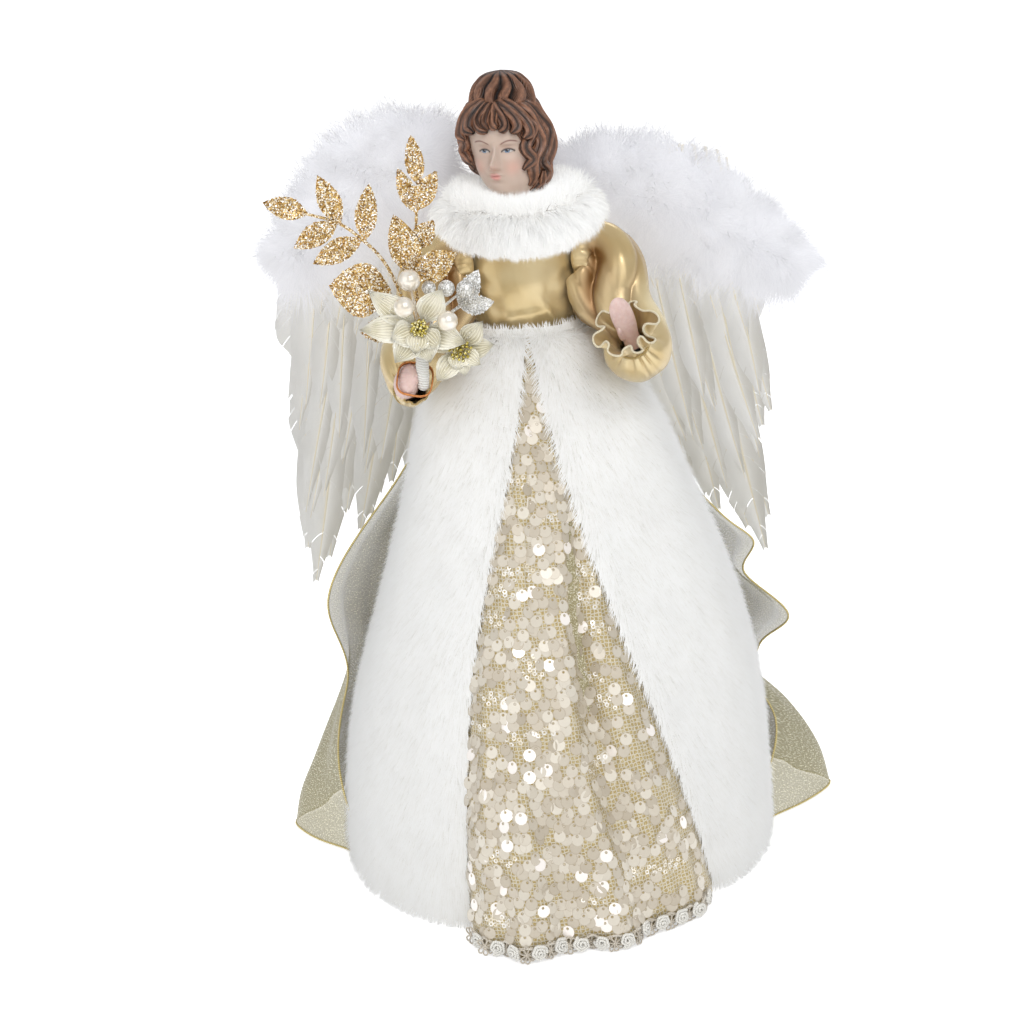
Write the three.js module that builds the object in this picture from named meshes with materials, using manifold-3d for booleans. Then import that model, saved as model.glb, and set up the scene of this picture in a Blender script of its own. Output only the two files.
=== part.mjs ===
// Angel tree topper: a dressed doll on a card cone that slips over the tip of a tree.
// Millimetres, +Z up. The origin is the centre of the cone's open mouth, on the surface that it stands on.
// The doll faces -Y, so its own left side is +X. Angles round the body start at the front and grow to its left.
import * as THREE from "three";
import { mergeVertices } from "three/addons/utils/BufferGeometryUtils.js";
import Module from "manifold-3d";

const wasm = await Module();
wasm.setup();

// Gaps and stock that the pieces share
const CLEARANCE = 0.4;
const FLOOR_GAP = 0.3;
const CLOTH = 1.2;
const WIRE_RADIUS = 0.9;

// Card cone
const CONE_BASE_RADIUS = 92;
const CONE_TOP_RADIUS = 19;
const CONE_HEIGHT = 258;
const CONE_WALL = 1.6;

// Torso, a moulded pulp form plugged into the cone
const PLUG_DEPTH = 14;
const WAIST_BAND_HEIGHT = 20;
const CHEST_HEIGHT = 41;
const CHEST_HALF_WIDTH = 26;
const CHEST_HALF_DEPTH = 21;
const WAIST_HALF_WIDTH = 24;
const WAIST_HALF_DEPTH = 20;
const SHOULDER_TOP_HALF_WIDTH = 24;
const SHOULDER_TOP_HALF_DEPTH = 18;

// Head, cast in one with its neck and hair
const NECK_FLANGE_RADIUS = 12;
const NECK_RADIUS = 7;
const NECK_LENGTH = 19;
const HEAD_HEIGHT = 43;
const HEAD_HALF_WIDTH = 21;
const FACE_FRONT = 24;
const HEAD_BACK = 21;
const BUN_HEIGHT = 13;
const BUN_RADIUS = 15;
const HAIR_STEP = 2.4;
const NOSE_LENGTH = 4.5;
const HEAD_TURN = THREE.MathUtils.degToRad(-12);
const HEAD_LEAN = 5;

// Fur collar
const COLLAR_RING_RADIUS = 28.5;
const COLLAR_HALF_WIDTH = 14.5;
const COLLAR_HALF_HEIGHT = 12;
const COLLAR_FRONT_DROP = 4;

// Skirts, from the inside out
const UNDERSKIRT_HEM_RADIUS = 104;
const UNDERSKIRT_HEM_HEIGHT = 4;
const SEQUIN_CLOTH = 1.6;
const SEQUIN_BULGE = 26;
const SEQUIN_FOLD = 4;
const SEQUIN_HEM_HEIGHT = 1.5;
const SEQUIN_SIDE = THREE.MathUtils.degToRad(62);
const FUR_PILE = 10;
const FUR_HEM_HEIGHT = 2;
const FUR_FOLD = 3;
const FUR_OPENING_RIGHT = THREE.MathUtils.degToRad(26);
const FUR_OPENING_LEFT = THREE.MathUtils.degToRad(43);
const FUR_SIDE = THREE.MathUtils.degToRad(100);
const FUR_EDGE_GAP = THREE.MathUtils.degToRad(0.8);
const ORGANZA_SHEET = 0.9;
const ORGANZA_HEM_HEIGHT = 1;
const ORGANZA_SIDE = THREE.MathUtils.degToRad(104);
const ORGANZA_FLARE = 24;
const ORGANZA_LEFT_FLARE = 24;
const ORGANZA_RIGHT_FLARE = 10;
const ORGANZA_FORWARD = THREE.MathUtils.degToRad(22);
const ORGANZA_RUFFLE = 8;
const ORGANZA_RUFFLES = 9;
const BRAID_HEIGHT = 7;
const BRAID_THICKNESS = 3;
const BRAID_ROSES = 17;

// Arms
const SHOULDER_DROP = 13;
const SLEEVE_FOLD = 0.9;
const SLEEVE_FOLDS = 7;
const SLEEVE_CLOTH = 1;
const ELASTIC_RADIUS = 0.6;
const HAND_LENGTH = 25;
const HAND_HALF_WIDTH = 5;
const WRIST_RADIUS = 4;

// Wings
const WING_POST_SPACING = 26;
const WING_POST_LENGTH = 20;
const WING_POST_RISE = 8;
const WING_SET_BACK = 20;
const PATCH_THICKNESS = 1.5;
const PATCH_BORDER = 5;
const WING_CARD = 1.5;
const WING_CARD_START = 24;
const WING_CARD_REACH = 106;
const WING_CARD_HEIGHT = 46;
const FEATHERS = 8;
const FEATHER_HALF_WIDTH = 12;
const FEATHER_THICKNESS = 1;
const FEATHER_LAYERS = 4;
const FEATHER_INNER = 150;
const FEATHER_OUTER = 90;
const FEATHER_LONG = 228;
const FEATHER_LEAN_INNER = THREE.MathUtils.degToRad(13);
const FEATHER_LEAN_OUTER = THREE.MathUtils.degToRad(8.5);
const DOWN_HALF_DEPTH = 9;
const DOWN_HALF_HEIGHT = 33;
const LEFT_DOWN_REACH = 134;
const RIGHT_DOWN_REACH = 114;

// Bouquet, tied to the right hand
const BUNDLE_RADIUS = 3;
const BUNDLE_LENGTH = 28;
const STEM_RADIUS = 0.9;
const LEAF_THICKNESS = 1.2;
const PEARL_RADIUS = 5;
const GLITTER_BALL_RADIUS = 4.2;
const TIE_WIRE_RADIUS = 0.5;

// Facets round the main forms
const BODY_FACETS = 24;
const HEAD_FACETS = 28;
const SLEEVE_FACETS = 14;

const WAIST = CONE_HEIGHT + CLEARANCE + WAIST_BAND_HEIGHT;
const SKIRT_TOP = WAIST - CLEARANCE;
const TORSO_TOP = WAIST + CHEST_HEIGHT;
const SHOULDER_HEIGHT = TORSO_TOP - SHOULDER_DROP;
const BODICE_HALF_WIDTH = CHEST_HALF_WIDTH + CLEARANCE + CLOTH;
const BODICE_HALF_DEPTH = CHEST_HALF_DEPTH + CLEARANCE + CLOTH;

const vec = (x, y, z) => new THREE.Vector3(x, y, z);
const round = (angle, radius, z) => vec(radius * Math.sin(angle), -radius * Math.cos(angle), z);
const mix = THREE.MathUtils.lerp;
const clamp = THREE.MathUtils.clamp;
const TURN = 2 * Math.PI;

const paint = (color, roughness, metalness = 0) =>
  new THREE.MeshStandardMaterial({ color, roughness, metalness });
const PAINTS = {
  card: paint("#b9a587", 0.9),
  pulp: paint("#d9d2c4", 0.9),
  bisque: paint("#e3c9b6", 0.45),
  fur: paint("#f4f3ef", 0.95),
  satin: paint("#d8bd7c", 0.35),
  lining: paint("#d9c48e", 0.5),
  sequin: paint("#e2d2b4", 0.35),
  braid: paint("#d8d0c4", 0.6),
  organza: paint("#d9d3b4", 0.5),
  feather: paint("#f1ece0", 0.7),
  down: paint("#f7f7fa", 0.95),
  wire: paint("#b8894a", 0.35, 0.9),
  glitter: paint("#c79a4a", 0.4, 0.6),
  petal: paint("#ded3ac", 0.5),
  silver: paint("#c9c6bc", 0.3, 0.6),
  pearl: paint("#f1e9da", 0.2),
  tape: paint("#efece6", 0.7),
};

const angel = new THREE.Group();

function place(parent, name, geometry, material) {
  const mesh = new THREE.Mesh(geometry, material);
  mesh.name = name;
  parent.add(mesh);
  return mesh;
}

// A closed surface with its faces pointing out, whichever way round its points were laid.
function closed(points, triangles) {
  let volume = 0;
  for (let i = 0; i < triangles.length; i += 3) {
    const [a, b, c] = [points[triangles[i]], points[triangles[i + 1]], points[triangles[i + 2]]];
    volume += a.dot(b.clone().cross(c));
  }
  const index = volume < 0 ? triangles.toReversed() : triangles;
  return new THREE.BufferGeometry().setFromPoints(points).setIndex(index);
}

const asSurface = (geometry) => {
  const bare = geometry.clone();
  bare.deleteAttribute("normal");
  bare.deleteAttribute("uv");
  const merged = mergeVertices(bare, 1e-4);
  const at = merged.getAttribute("position");
  const points = Array.from({ length: at.count }, (_, i) => vec().fromBufferAttribute(at, i));
  return closed(points, Array.from(merged.index.array));
};

// Joins closed shapes into one.
function joined(...geometries) {
  const solids = geometries.map((geometry) => {
    const { position } = geometry.attributes;
    const mesh = { numProp: 3, vertProperties: position.array, triVerts: new Uint32Array(geometry.index.array) };
    return new wasm.Manifold(new wasm.Mesh(mesh));
  });
  const { vertProperties, triVerts } = solids.reduce((a, b) => a.add(b)).getMesh();
  return new THREE.BufferGeometry()
    .setAttribute("position", new THREE.BufferAttribute(vertProperties, 3))
    .setIndex(new THREE.BufferAttribute(triVerts, 1));
}

// A skin over a row of rings with as many points each, capped at both ends, or running back into its first ring.
function loft(rings, endless = false) {
  const around = rings[0].length;
  const points = rings.flat();
  const triangles = [];
  const at = (ring, i) => (ring % rings.length) * around + (i % around);
  const bands = endless ? rings.length : rings.length - 1;
  for (let ring = 0; ring < bands; ring++)
    for (let i = 0; i < around; i++) {
      const [a, b, c, d] = [at(ring, i), at(ring, i + 1), at(ring + 1, i + 1), at(ring + 1, i)];
      triangles.push(a, b, c, a, c, d);
    }
  if (!endless)
    for (const [ring, flip] of [[0, true], [rings.length - 1, false]]) {
      const centre = rings[ring].reduce((sum, p) => sum.add(p), vec(0, 0, 0)).divideScalar(around);
      const hub = points.push(centre) - 1;
      for (let i = 0; i < around; i++) {
        const [a, b] = flip ? [at(ring, i + 1), at(ring, i)] : [at(ring, i), at(ring, i + 1)];
        triangles.push(a, b, hub);
      }
    }
  return closed(points, triangles);
}

// A sheet with a face and a back, both functions of (across, along) from 0 to 1, closed by a rim. A tube wraps across.
function slab(across, along, face, back, wraps = false) {
  const columns = wraps ? across : across + 1;
  const points = [];
  for (const side of [face, back])
    for (let j = 0; j <= along; j++)
      for (let i = 0; i < columns; i++) points.push(side(i / across, j / along));
  const at = (side, i, j) => (side * (along + 1) + j) * columns + (i % columns);
  const triangles = [];
  const quad = (a, b, c, d) => triangles.push(a, b, c, a, c, d);
  for (let j = 0; j < along; j++)
    for (let i = 0; i < across; i++) {
      quad(at(0, i, j), at(0, i + 1, j), at(0, i + 1, j + 1), at(0, i, j + 1));
      quad(at(1, i, j + 1), at(1, i + 1, j + 1), at(1, i + 1, j), at(1, i, j));
    }
  for (let i = 0; i < across; i++) {
    quad(at(1, i, 0), at(1, i + 1, 0), at(0, i + 1, 0), at(0, i, 0));
    quad(at(0, i, along), at(0, i + 1, along), at(1, i + 1, along), at(1, i, along));
  }
  if (!wraps)
    for (let j = 0; j < along; j++) {
      quad(at(0, 0, j), at(0, 0, j + 1), at(1, 0, j + 1), at(1, 0, j));
      quad(at(1, across, j), at(1, across, j + 1), at(0, across, j + 1), at(0, across, j));
    }
  return closed(points, triangles);
}

// Round wire along a smooth line through points.
function wire(points, radius, steps) {
  const section = new THREE.Shape();
  section.absarc(0, 0, radius, 0, TURN);
  const extrudePath = new THREE.CatmullRomCurve3(points, false, "centripetal");
  return asSurface(
    new THREE.ExtrudeGeometry(section, { steps, extrudePath, curveSegments: 3, bevelEnabled: false }),
  );
}

// A ring of points round a line, in the plane of two unit vectors.
function ringAt(centre, u, v, facets, radiusU, radiusV = radiusU) {
  return Array.from({ length: facets }, (_, i) => {
    const angle = (TURN * i) / facets;
    const out = radiusU * Math.cos(angle);
    return centre.clone().addScaledVector(u, out).addScaledVector(v, radiusV * Math.sin(angle));
  });
}

// A leaf, petal or feather: a lens section that swells and closes along a shaft from its base to its tip.
function blade({ base, tip, normal, halfWidth, thickness, bow = 0, fullest = 0.45, stations = 7, stalk = 0.12 }) {
  const shaft = tip.clone().sub(base);
  const across = shaft.clone().cross(normal).normalize();
  const rise = across.clone().cross(shaft).normalize();
  const rings = Array.from({ length: stations + 1 }, (_, i) => {
    const along = i / stations;
    const swell = along < fullest ? along / fullest : (1 - along) / (1 - fullest);
    const half = halfWidth * Math.max(stalk, Math.sin((Math.PI / 2) * swell) ** 0.85);
    const thick = (thickness / 2) * (along < 1 ? 1 : 0.4);
    const centre = base.clone().addScaledVector(shaft, along);
    centre.addScaledVector(rise, bow * Math.sin(Math.PI * along));
    return [[half, 0], [0, thick], [-half, 0], [0, -thick]].map(([w, h]) =>
      centre.clone().addScaledVector(across, w).addScaledVector(rise, h),
    );
  });
  return loft(rings);
}

// Body: cone, torso and head

const coneRadius = (z) => mix(CONE_BASE_RADIUS, CONE_TOP_RADIUS, z / CONE_HEIGHT);

function cone() {
  const profile = [
    [CONE_BASE_RADIUS, 0],
    [CONE_TOP_RADIUS, CONE_HEIGHT],
    [CONE_TOP_RADIUS - CONE_WALL, CONE_HEIGHT],
    [CONE_BASE_RADIUS - CONE_WALL, 0],
    [CONE_BASE_RADIUS, 0],
  ].map(([r, z]) => new THREE.Vector2(r, z));
  return asSurface(new THREE.LatheGeometry(profile, BODY_FACETS).rotateX(Math.PI / 2));
}

const oval = (halfWidth, halfDepth, z, facets = BODY_FACETS) =>
  ringAt(vec(0, 0, z), vec(0, -1, 0), vec(1, 0, 0), facets, halfDepth, halfWidth);

// Sections of the chest from the waist up: share of its height, half width and half depth.
const CHEST_SECTIONS = [
  [0, WAIST_HALF_WIDTH, WAIST_HALF_DEPTH],
  [0.55, CHEST_HALF_WIDTH, CHEST_HALF_DEPTH],
  [0.8, CHEST_HALF_WIDTH - 1, CHEST_HALF_DEPTH - 1.5],
  [1, SHOULDER_TOP_HALF_WIDTH, SHOULDER_TOP_HALF_DEPTH],
];
const chestHeight = (share) => mix(WAIST + CLEARANCE, TORSO_TOP, share);

function torso() {
  const plugAt = (z) => coneRadius(z) - CONE_WALL - CLEARANCE;
  const plugFoot = CONE_HEIGHT - PLUG_DEPTH;
  const flange = CONE_HEIGHT + CLEARANCE;
  const chestRings = CHEST_SECTIONS.map(([share, halfWidth, halfDepth]) =>
    oval(halfWidth, halfDepth, chestHeight(share)),
  );
  return loft([
    oval(plugAt(plugFoot), plugAt(plugFoot), plugFoot),
    oval(plugAt(CONE_HEIGHT), plugAt(CONE_HEIGHT), flange - CLEARANCE / 2),
    oval(CONE_TOP_RADIUS, CONE_TOP_RADIUS, flange),
    oval(CONE_TOP_RADIUS, CONE_TOP_RADIUS, WAIST),
    ...chestRings,
  ]);
}

// Sections of the head from the neck's flange up: height, half width, front and back.
function headSections() {
  const chin = CLEARANCE + NECK_LENGTH + 5;
  const crown = chin + HEAD_HEIGHT;
  const at = (share) => mix(chin, crown, share);
  return [
    [0, NECK_FLANGE_RADIUS, NECK_FLANGE_RADIUS, NECK_FLANGE_RADIUS],
    [3, NECK_FLANGE_RADIUS - 1, NECK_FLANGE_RADIUS - 1, NECK_FLANGE_RADIUS - 1],
    [7, NECK_RADIUS + 1, NECK_RADIUS + 1, NECK_RADIUS + 2],
    [NECK_LENGTH, NECK_RADIUS, NECK_RADIUS, NECK_RADIUS + 3],
    [chin - 1.5, NECK_RADIUS + 1, FACE_FRONT * 0.62, HEAD_BACK * 0.6],
    [at(0.02), HEAD_HALF_WIDTH * 0.42, FACE_FRONT * 0.86, HEAD_BACK * 0.7],
    [at(0.1), HEAD_HALF_WIDTH * 0.54, FACE_FRONT * 0.94, HEAD_BACK * 0.82],
    [at(0.22), HEAD_HALF_WIDTH * 0.66, FACE_FRONT * 0.97, HEAD_BACK * 0.9],
    [at(0.36), HEAD_HALF_WIDTH * 0.78, FACE_FRONT, HEAD_BACK * 0.96],
    [at(0.5), HEAD_HALF_WIDTH * 0.86, FACE_FRONT * 0.98, HEAD_BACK],
    [at(0.64), HEAD_HALF_WIDTH * 0.9, FACE_FRONT, HEAD_BACK],
    [at(0.78), HEAD_HALF_WIDTH * 0.86, FACE_FRONT * 0.92, HEAD_BACK * 0.96],
    [at(0.9), HEAD_HALF_WIDTH * 0.72, FACE_FRONT * 0.7, HEAD_BACK * 0.84],
    [at(1), BUN_RADIUS - HAIR_STEP - 1.5, BUN_RADIUS - HAIR_STEP - 3, BUN_RADIUS - HAIR_STEP],
    [crown + BUN_HEIGHT * 0.3, BUN_RADIUS - HAIR_STEP, BUN_RADIUS - HAIR_STEP - 2, BUN_RADIUS - HAIR_STEP],
    [crown + BUN_HEIGHT * 0.62, BUN_RADIUS - HAIR_STEP - 1, BUN_RADIUS - HAIR_STEP - 3, BUN_RADIUS - HAIR_STEP - 1],
    [crown + BUN_HEIGHT * 0.9, BUN_RADIUS * 0.45, BUN_RADIUS * 0.35, BUN_RADIUS * 0.45],
    [crown + BUN_HEIGHT, BUN_RADIUS * 0.12, BUN_RADIUS * 0.1, BUN_RADIUS * 0.12],
  ];
}

// The cast head: an egg of sections with a nose, and hair that stands proud of the face in waves up to the bun.
function head() {
  const sections = headSections();
  const chin = sections[5][0];
  const crown = sections[13][0];
  const noseTip = mix(chin, crown, 0.33);
  const hairline = mix(chin, crown, 0.72);
  const rings = sections.map(([z, halfWidth, front, back]) =>
    Array.from({ length: HEAD_FACETS }, (_, i) => {
      const angle = (TURN * i) / HEAD_FACETS;
      const facing = Math.cos(angle);
      const aside = Math.acos(facing);
      const depth = facing > 0 ? front : back;
      const temple = z > hairline ? 0 : mix(0.95, 0.78, clamp((z - chin) / (hairline - chin), 0, 1));
      const onHair = z > chin - 3 && aside > temple ? 1 : 0;
      const wave = 0.7 * Math.sin(9 * angle + 0.35 * z);
      const hair = onHair * (HAIR_STEP + wave) * clamp((sections.at(-1)[0] - z) / 3, 0.1, 1);
      const onNose = aside < 0.1 ? Math.max(0, 1 - Math.abs(z - noseTip) / (0.2 * HEAD_HEIGHT)) : 0;
      const x = (halfWidth + hair) * Math.sin(angle);
      const y = -(depth + hair + NOSE_LENGTH * onNose) * facing;
      const lean = HEAD_LEAN * clamp((z - NECK_LENGTH) / HEAD_HEIGHT, 0, 1);
      return vec(x - lean, y, z);
    }),
  );
  return loft(rings);
}

// A shell over the chest, from the waist to the shoulders' edge.
function bodice() {
  const rows = CHEST_SECTIONS.length - 1;
  const skin = (out) => (across, along) => {
    const [share, halfWidth, halfDepth] = CHEST_SECTIONS[Math.round(along * rows)];
    const angle = TURN * across;
    const z = chestHeight(share);
    return vec((halfWidth + out) * Math.sin(angle), -(halfDepth + out) * Math.cos(angle), z);
  };
  return slab(BODY_FACETS, rows, skin(CLEARANCE + CLOTH), skin(CLEARANCE), true);
}

// A thick ring of fur that rests on the bodice's top edge and dips at the front.
function collar() {
  const edgeWidth = SHOULDER_TOP_HALF_WIDTH + CLEARANCE + CLOTH;
  const edgeDepth = SHOULDER_TOP_HALF_DEPTH + CLEARANCE + CLOTH;
  const rings = Array.from({ length: BODY_FACETS }, (_, i) => {
    const angle = (TURN * i) / BODY_FACETS;
    const raised = COLLAR_FRONT_DROP * (0.5 - 0.5 * Math.cos(angle));
    const edge = 1 / Math.hypot(Math.sin(angle) / edgeWidth, Math.cos(angle) / edgeDepth);
    const overhang = clamp((COLLAR_RING_RADIUS - edge) / COLLAR_HALF_WIDTH, 0, 1);
    const z = TORSO_TOP + CLEARANCE + COLLAR_HALF_HEIGHT * Math.sqrt(1 - overhang ** 2) + raised;
    const plump = 1 + 0.03 * Math.cos(5 * angle);
    const out = round(angle, 1, 0);
    const centre = round(angle, COLLAR_RING_RADIUS, z);
    return ringAt(centre, out, vec(0, 0, 1), 10, COLLAR_HALF_WIDTH * plump, COLLAR_HALF_HEIGHT);
  });
  return loft(rings, true);
}

place(angel, "tree_cone", cone(), PAINTS.card);
place(angel, "torso_core", torso(), PAINTS.pulp);
place(angel, "satin_bodice", bodice(), PAINTS.satin);
place(angel, "fur_collar", collar(), PAINTS.fur);
const castHead = place(angel, "head_casting", head(), PAINTS.bisque);
castHead.position.set(0, 0, TORSO_TOP + CLEARANCE);
castHead.rotation.z = HEAD_TURN;

// Skirts

// How far down the skirt a height is: 0 at the waist, 1 on the floor.
const fall = (z) => clamp(1 - z / SKIRT_TOP, 0, 1);

// Heights of the rows that all layers share, so that they lie parallel, with one layer's own hem as the lowest.
const SKIRT_ROWS = 8;
const rowHeight = (along, hem) => Math.max(hem, SKIRT_TOP * along);

// Radius of the underskirt's outside, a bell that every other layer is laid over, straight from row to row.
function bell(z) {
  const top = CONE_TOP_RADIUS + CLEARANCE + CLOTH;
  const full = (drop) => mix(top, UNDERSKIRT_HEM_RADIUS, Math.sin((Math.PI / 2) * drop) ** 1.15);
  const row = Math.min(SKIRT_ROWS - 1, Math.floor(fall(z) * SKIRT_ROWS));
  return mix(full(row / SKIRT_ROWS), full((row + 1) / SKIRT_ROWS), fall(z) * SKIRT_ROWS - row);
}

const tuckedSequin = (z) => bell(z) + CLEARANCE + SEQUIN_CLOTH;
const furInside = (z) => tuckedSequin(z) + CLEARANCE;

// Angles of the two fur edges at the front, which part downwards from the waist.
const furEdgeRight = (z) => -FUR_OPENING_RIGHT * Math.sin((Math.PI / 2) * clamp(fall(z) / 0.6, 0, 1)) ** 0.8;
const furEdgeLeft = (z) => FUR_OPENING_LEFT * fall(z) ** 0.75;

// How far the sequin cloth swells out between the fur edges, at a share of the way across from right to left.
function swell(share, z) {
  const inside = Math.min(1, share / 0.12) ** 0.7 * (1 - share) ** 0.45;
  const folds = SEQUIN_FOLD * Math.cos(TURN * 3.5 * share + 0.6);
  return inside * (SEQUIN_BULGE + folds) * fall(z) ** 1.5;
}

function underskirt() {
  const skin = (out) => (across, along) => {
    const z = rowHeight(along, UNDERSKIRT_HEM_HEIGHT);
    return round(TURN * across, bell(z) + out, z);
  };
  return slab(BODY_FACETS, SKIRT_ROWS, skin(0), skin(-CLOTH), true);
}

// The sequin cloth is tucked under both fur edges, with its fold lines fanned from the waist.
function sequinSkirt() {
  const tuck = 0.15;
  const skin = (out) => (across, along) => {
    const z = rowHeight(along, SEQUIN_HEM_HEIGHT);
    const [right, left] = [furEdgeRight(z), furEdgeLeft(z)];
    if (across < tuck) return round(mix(-SEQUIN_SIDE, right, across / tuck), tuckedSequin(z) + out, z);
    if (across > 1 - tuck)
      return round(mix(left, SEQUIN_SIDE, (across - 1 + tuck) / tuck), tuckedSequin(z) + out, z);
    const share = (across - tuck) / (1 - 2 * tuck);
    return round(mix(right, left, share), tuckedSequin(z) + swell(share, z) + out, z);
  };
  return slab(40, SKIRT_ROWS, skin(0), skin(-SEQUIN_CLOTH));
}

// Braid of small roses sewn along the sequin cloth's hem.
function hemBraid() {
  const steps = 3 * BRAID_ROSES;
  const z = FLOOR_GAP + BRAID_HEIGHT / 2;
  const rings = Array.from({ length: steps + 1 }, (_, i) => {
    const share = mix(0.06, 0.94, i / steps);
    const angle = mix(furEdgeRight(0), furEdgeLeft(0), share);
    const rose = 0.82 + 0.18 * Math.cos((TURN * i) / 3);
    const radius = tuckedSequin(0) + swell(share, SEQUIN_HEM_HEIGHT) + CLEARANCE + BRAID_THICKNESS / 2;
    const half = (BRAID_HEIGHT / 2) * rose;
    return ringAt(round(angle, radius + 0.3, z), round(angle, 1, 0), vec(0, 0, 1), 6, BRAID_THICKNESS / 2, half);
  });
  return loft(rings);
}

// One front panel of the fur robe, from its front edge round to the doll's side.
function furPanel(frontEdge, sideEdge) {
  const skin = (pile) => (across, along) => {
    const z = rowHeight(along, FUR_HEM_HEIGHT);
    const angle = mix(frontEdge(z), sideEdge, across);
    const edge = 1 - 0.62 * Math.abs(2 * across - 1) ** 5;
    const fold = FUR_FOLD * fall(z) * Math.sin(Math.PI * across) * (0.5 + 0.5 * Math.cos(TURN * 2 * across));
    return round(angle, furInside(z) + pile * (FUR_PILE * edge + fold), z);
  };
  return slab(12, SKIRT_ROWS, skin(1), skin(0));
}

// Sheer train behind the fur, gathered at the waist, that ruffles out most at the doll's two sides.
// Near the floor its side edges turn forward beside the fur.
function organzaTrain() {
  const skin = (out) => (across, along) => {
    const z = rowHeight(along, ORGANZA_HEM_HEIGHT);
    const sideFlare = across < 0.5 ? ORGANZA_LEFT_FLARE : ORGANZA_RIGHT_FLARE;
    const toSide = Math.abs(2 * across - 1) ** 6;
    const forward = ORGANZA_FORWARD * toSide * fall(z) ** 4;
    const angle = mix(ORGANZA_SIDE, TURN - ORGANZA_SIDE, across) + (across < 0.5 ? -forward : forward);
    const flare = ORGANZA_FLARE * fall(z) ** 1.6 + sideFlare * toSide * fall(z) ** 0.9;
    const ruffle = ORGANZA_RUFFLE * (1 - Math.cos(TURN * ORGANZA_RUFFLES * across)) * 0.5 * fall(z);
    return round(angle, bell(z) + CLEARANCE + ORGANZA_SHEET + flare + ruffle + out, z);
  };
  return slab(4 * ORGANZA_RUFFLES, SKIRT_ROWS, skin(0), skin(-ORGANZA_SHEET));
}

place(angel, "underskirt", underskirt(), PAINTS.lining);
place(angel, "sequin_skirt", sequinSkirt(), PAINTS.sequin);
place(angel, "hem_braid", hemBraid(), PAINTS.braid);
place(angel, "fur_panel_right", furPanel((z) => furEdgeRight(z) - FUR_EDGE_GAP, -FUR_SIDE), PAINTS.fur);
place(angel, "fur_panel_left", furPanel((z) => furEdgeLeft(z) + FUR_EDGE_GAP, FUR_SIDE), PAINTS.fur);
place(angel, "organza_train", organzaTrain(), PAINTS.organza);

// Arms, each in a group that turns about its shoulder

// Centre line of a sleeve from the shoulder, out of the armhole, down to the elbow and forward to the cuff's frill.
const ARM_LINES = {
  left: [[0, 0, 0], [10, -5, -2], [16, -18, -18], [22.5, -33, -33], [23, -47, -34], [19, -57, -25], [15.5, -65, -16]],
  right: [[0, 0, 0], [10, -5, -2], [19, -18, -19], [27, -34, -37], [29, -48, -43], [28, -57, -42], [26, -66, -38]],
};
// Share of the way along the sleeve, and its radius there. The narrow one is the gather that grips the wrist.
const GATHER_RADIUS = WRIST_RADIUS + 2 * CLEARANCE + SLEEVE_CLOTH + SLEEVE_FOLD;
const SLEEVE_SECTIONS = [
  [0, 9], [0.06, 11], [0.15, 13.2], [0.28, 15.6], [0.42, 16.6], [0.55, 17], [0.66, 16],
  [0.75, 11.5], [0.81, GATHER_RADIUS], [0.85, GATHER_RADIUS], [0.91, 11], [1, 14],
];
const TIED_CUFF_RADIUS = 9.6;
const GATHER = 0.83;

function armLine(arm, side) {
  return new THREE.CatmullRomCurve3(
    ARM_LINES[arm].map(([x, y, z]) => vec(side * x, y, z)),
    false,
    "centripetal",
  );
}

// Three unit vectors that travel with a line: along it, and two across it.
function framesAlong(line, shares, start = null) {
  let across = vec(0, 1, 0);
  return shares.map((share) => {
    const along = start && share < 0.1 ? start : line.getTangentAt(share);
    across = across.clone().addScaledVector(along, -across.dot(along)).normalize();
    return { centre: line.getPointAt(share), along, u: across, v: along.clone().cross(across) };
  });
}

// A gathered sleeve: a tube of cloth with folds that run along it and die out at the armhole.
// The right cuff's frill is drawn in by the wire that ties the bouquet.
function sleeve(line, side) {
  const frames = framesAlong(line, SLEEVE_SECTIONS.map(([share]) => share), vec(side, 0, 0));
  const last = SLEEVE_SECTIONS.length - 1;
  const skin = (inward) => (across, along) => {
    const station = Math.round(along * last);
    const [share, open] = SLEEVE_SECTIONS[station];
    const radius = side < 0 && share > GATHER ? Math.min(open, TIED_CUFF_RADIUS) : open;
    const { centre, u, v } = frames[station];
    const angle = TURN * across;
    const fold = SLEEVE_FOLD * clamp(share / 0.3, 0, 1) * Math.cos(SLEEVE_FOLDS * angle);
    const r = radius + fold - inward;
    return centre.clone().addScaledVector(u, r * Math.cos(angle)).addScaledVector(v, r * Math.sin(angle));
  };
  return slab(2 * SLEEVE_FOLDS, last, skin(0), skin(SLEEVE_CLOTH), true);
}

// Elastic thread that draws the sleeve in at the wrist.
function cuffElastic(line) {
  const [{ centre, u, v }] = framesAlong(line, [GATHER]);
  const radius = GATHER_RADIUS + SLEEVE_FOLD + CLEARANCE + ELASTIC_RADIUS;
  const rings = Array.from({ length: SLEEVE_FACETS }, (_, i) => {
    const angle = (TURN * i) / SLEEVE_FACETS;
    const out = u.clone().multiplyScalar(Math.cos(angle)).addScaledVector(v, Math.sin(angle));
    return ringAt(centre.clone().addScaledVector(out, radius), out, u.clone().cross(v), 5, ELASTIC_RADIUS);
  });
  return loft(rings, true);
}

const HAND_POSES = {
  left: { direction: vec(-0.28, -0.42, 0.86), broad: vec(0.8, 0, 0.4), stretch: 1.2 },
  right: { direction: vec(0.1, -0.86, 0.5), broad: vec(0.2, 0.45, 0.85), stretch: 1 },
};

// A hand's length, and its unit vectors along the fingers, across the palm and through it.
function handFrame({ direction, broad, stretch }) {
  const along = direction.clone().normalize();
  const wide = broad.clone().addScaledVector(along, -broad.dot(along)).normalize();
  return { along, wide, thin: along.clone().cross(wide), length: HAND_LENGTH * stretch };
}

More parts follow.
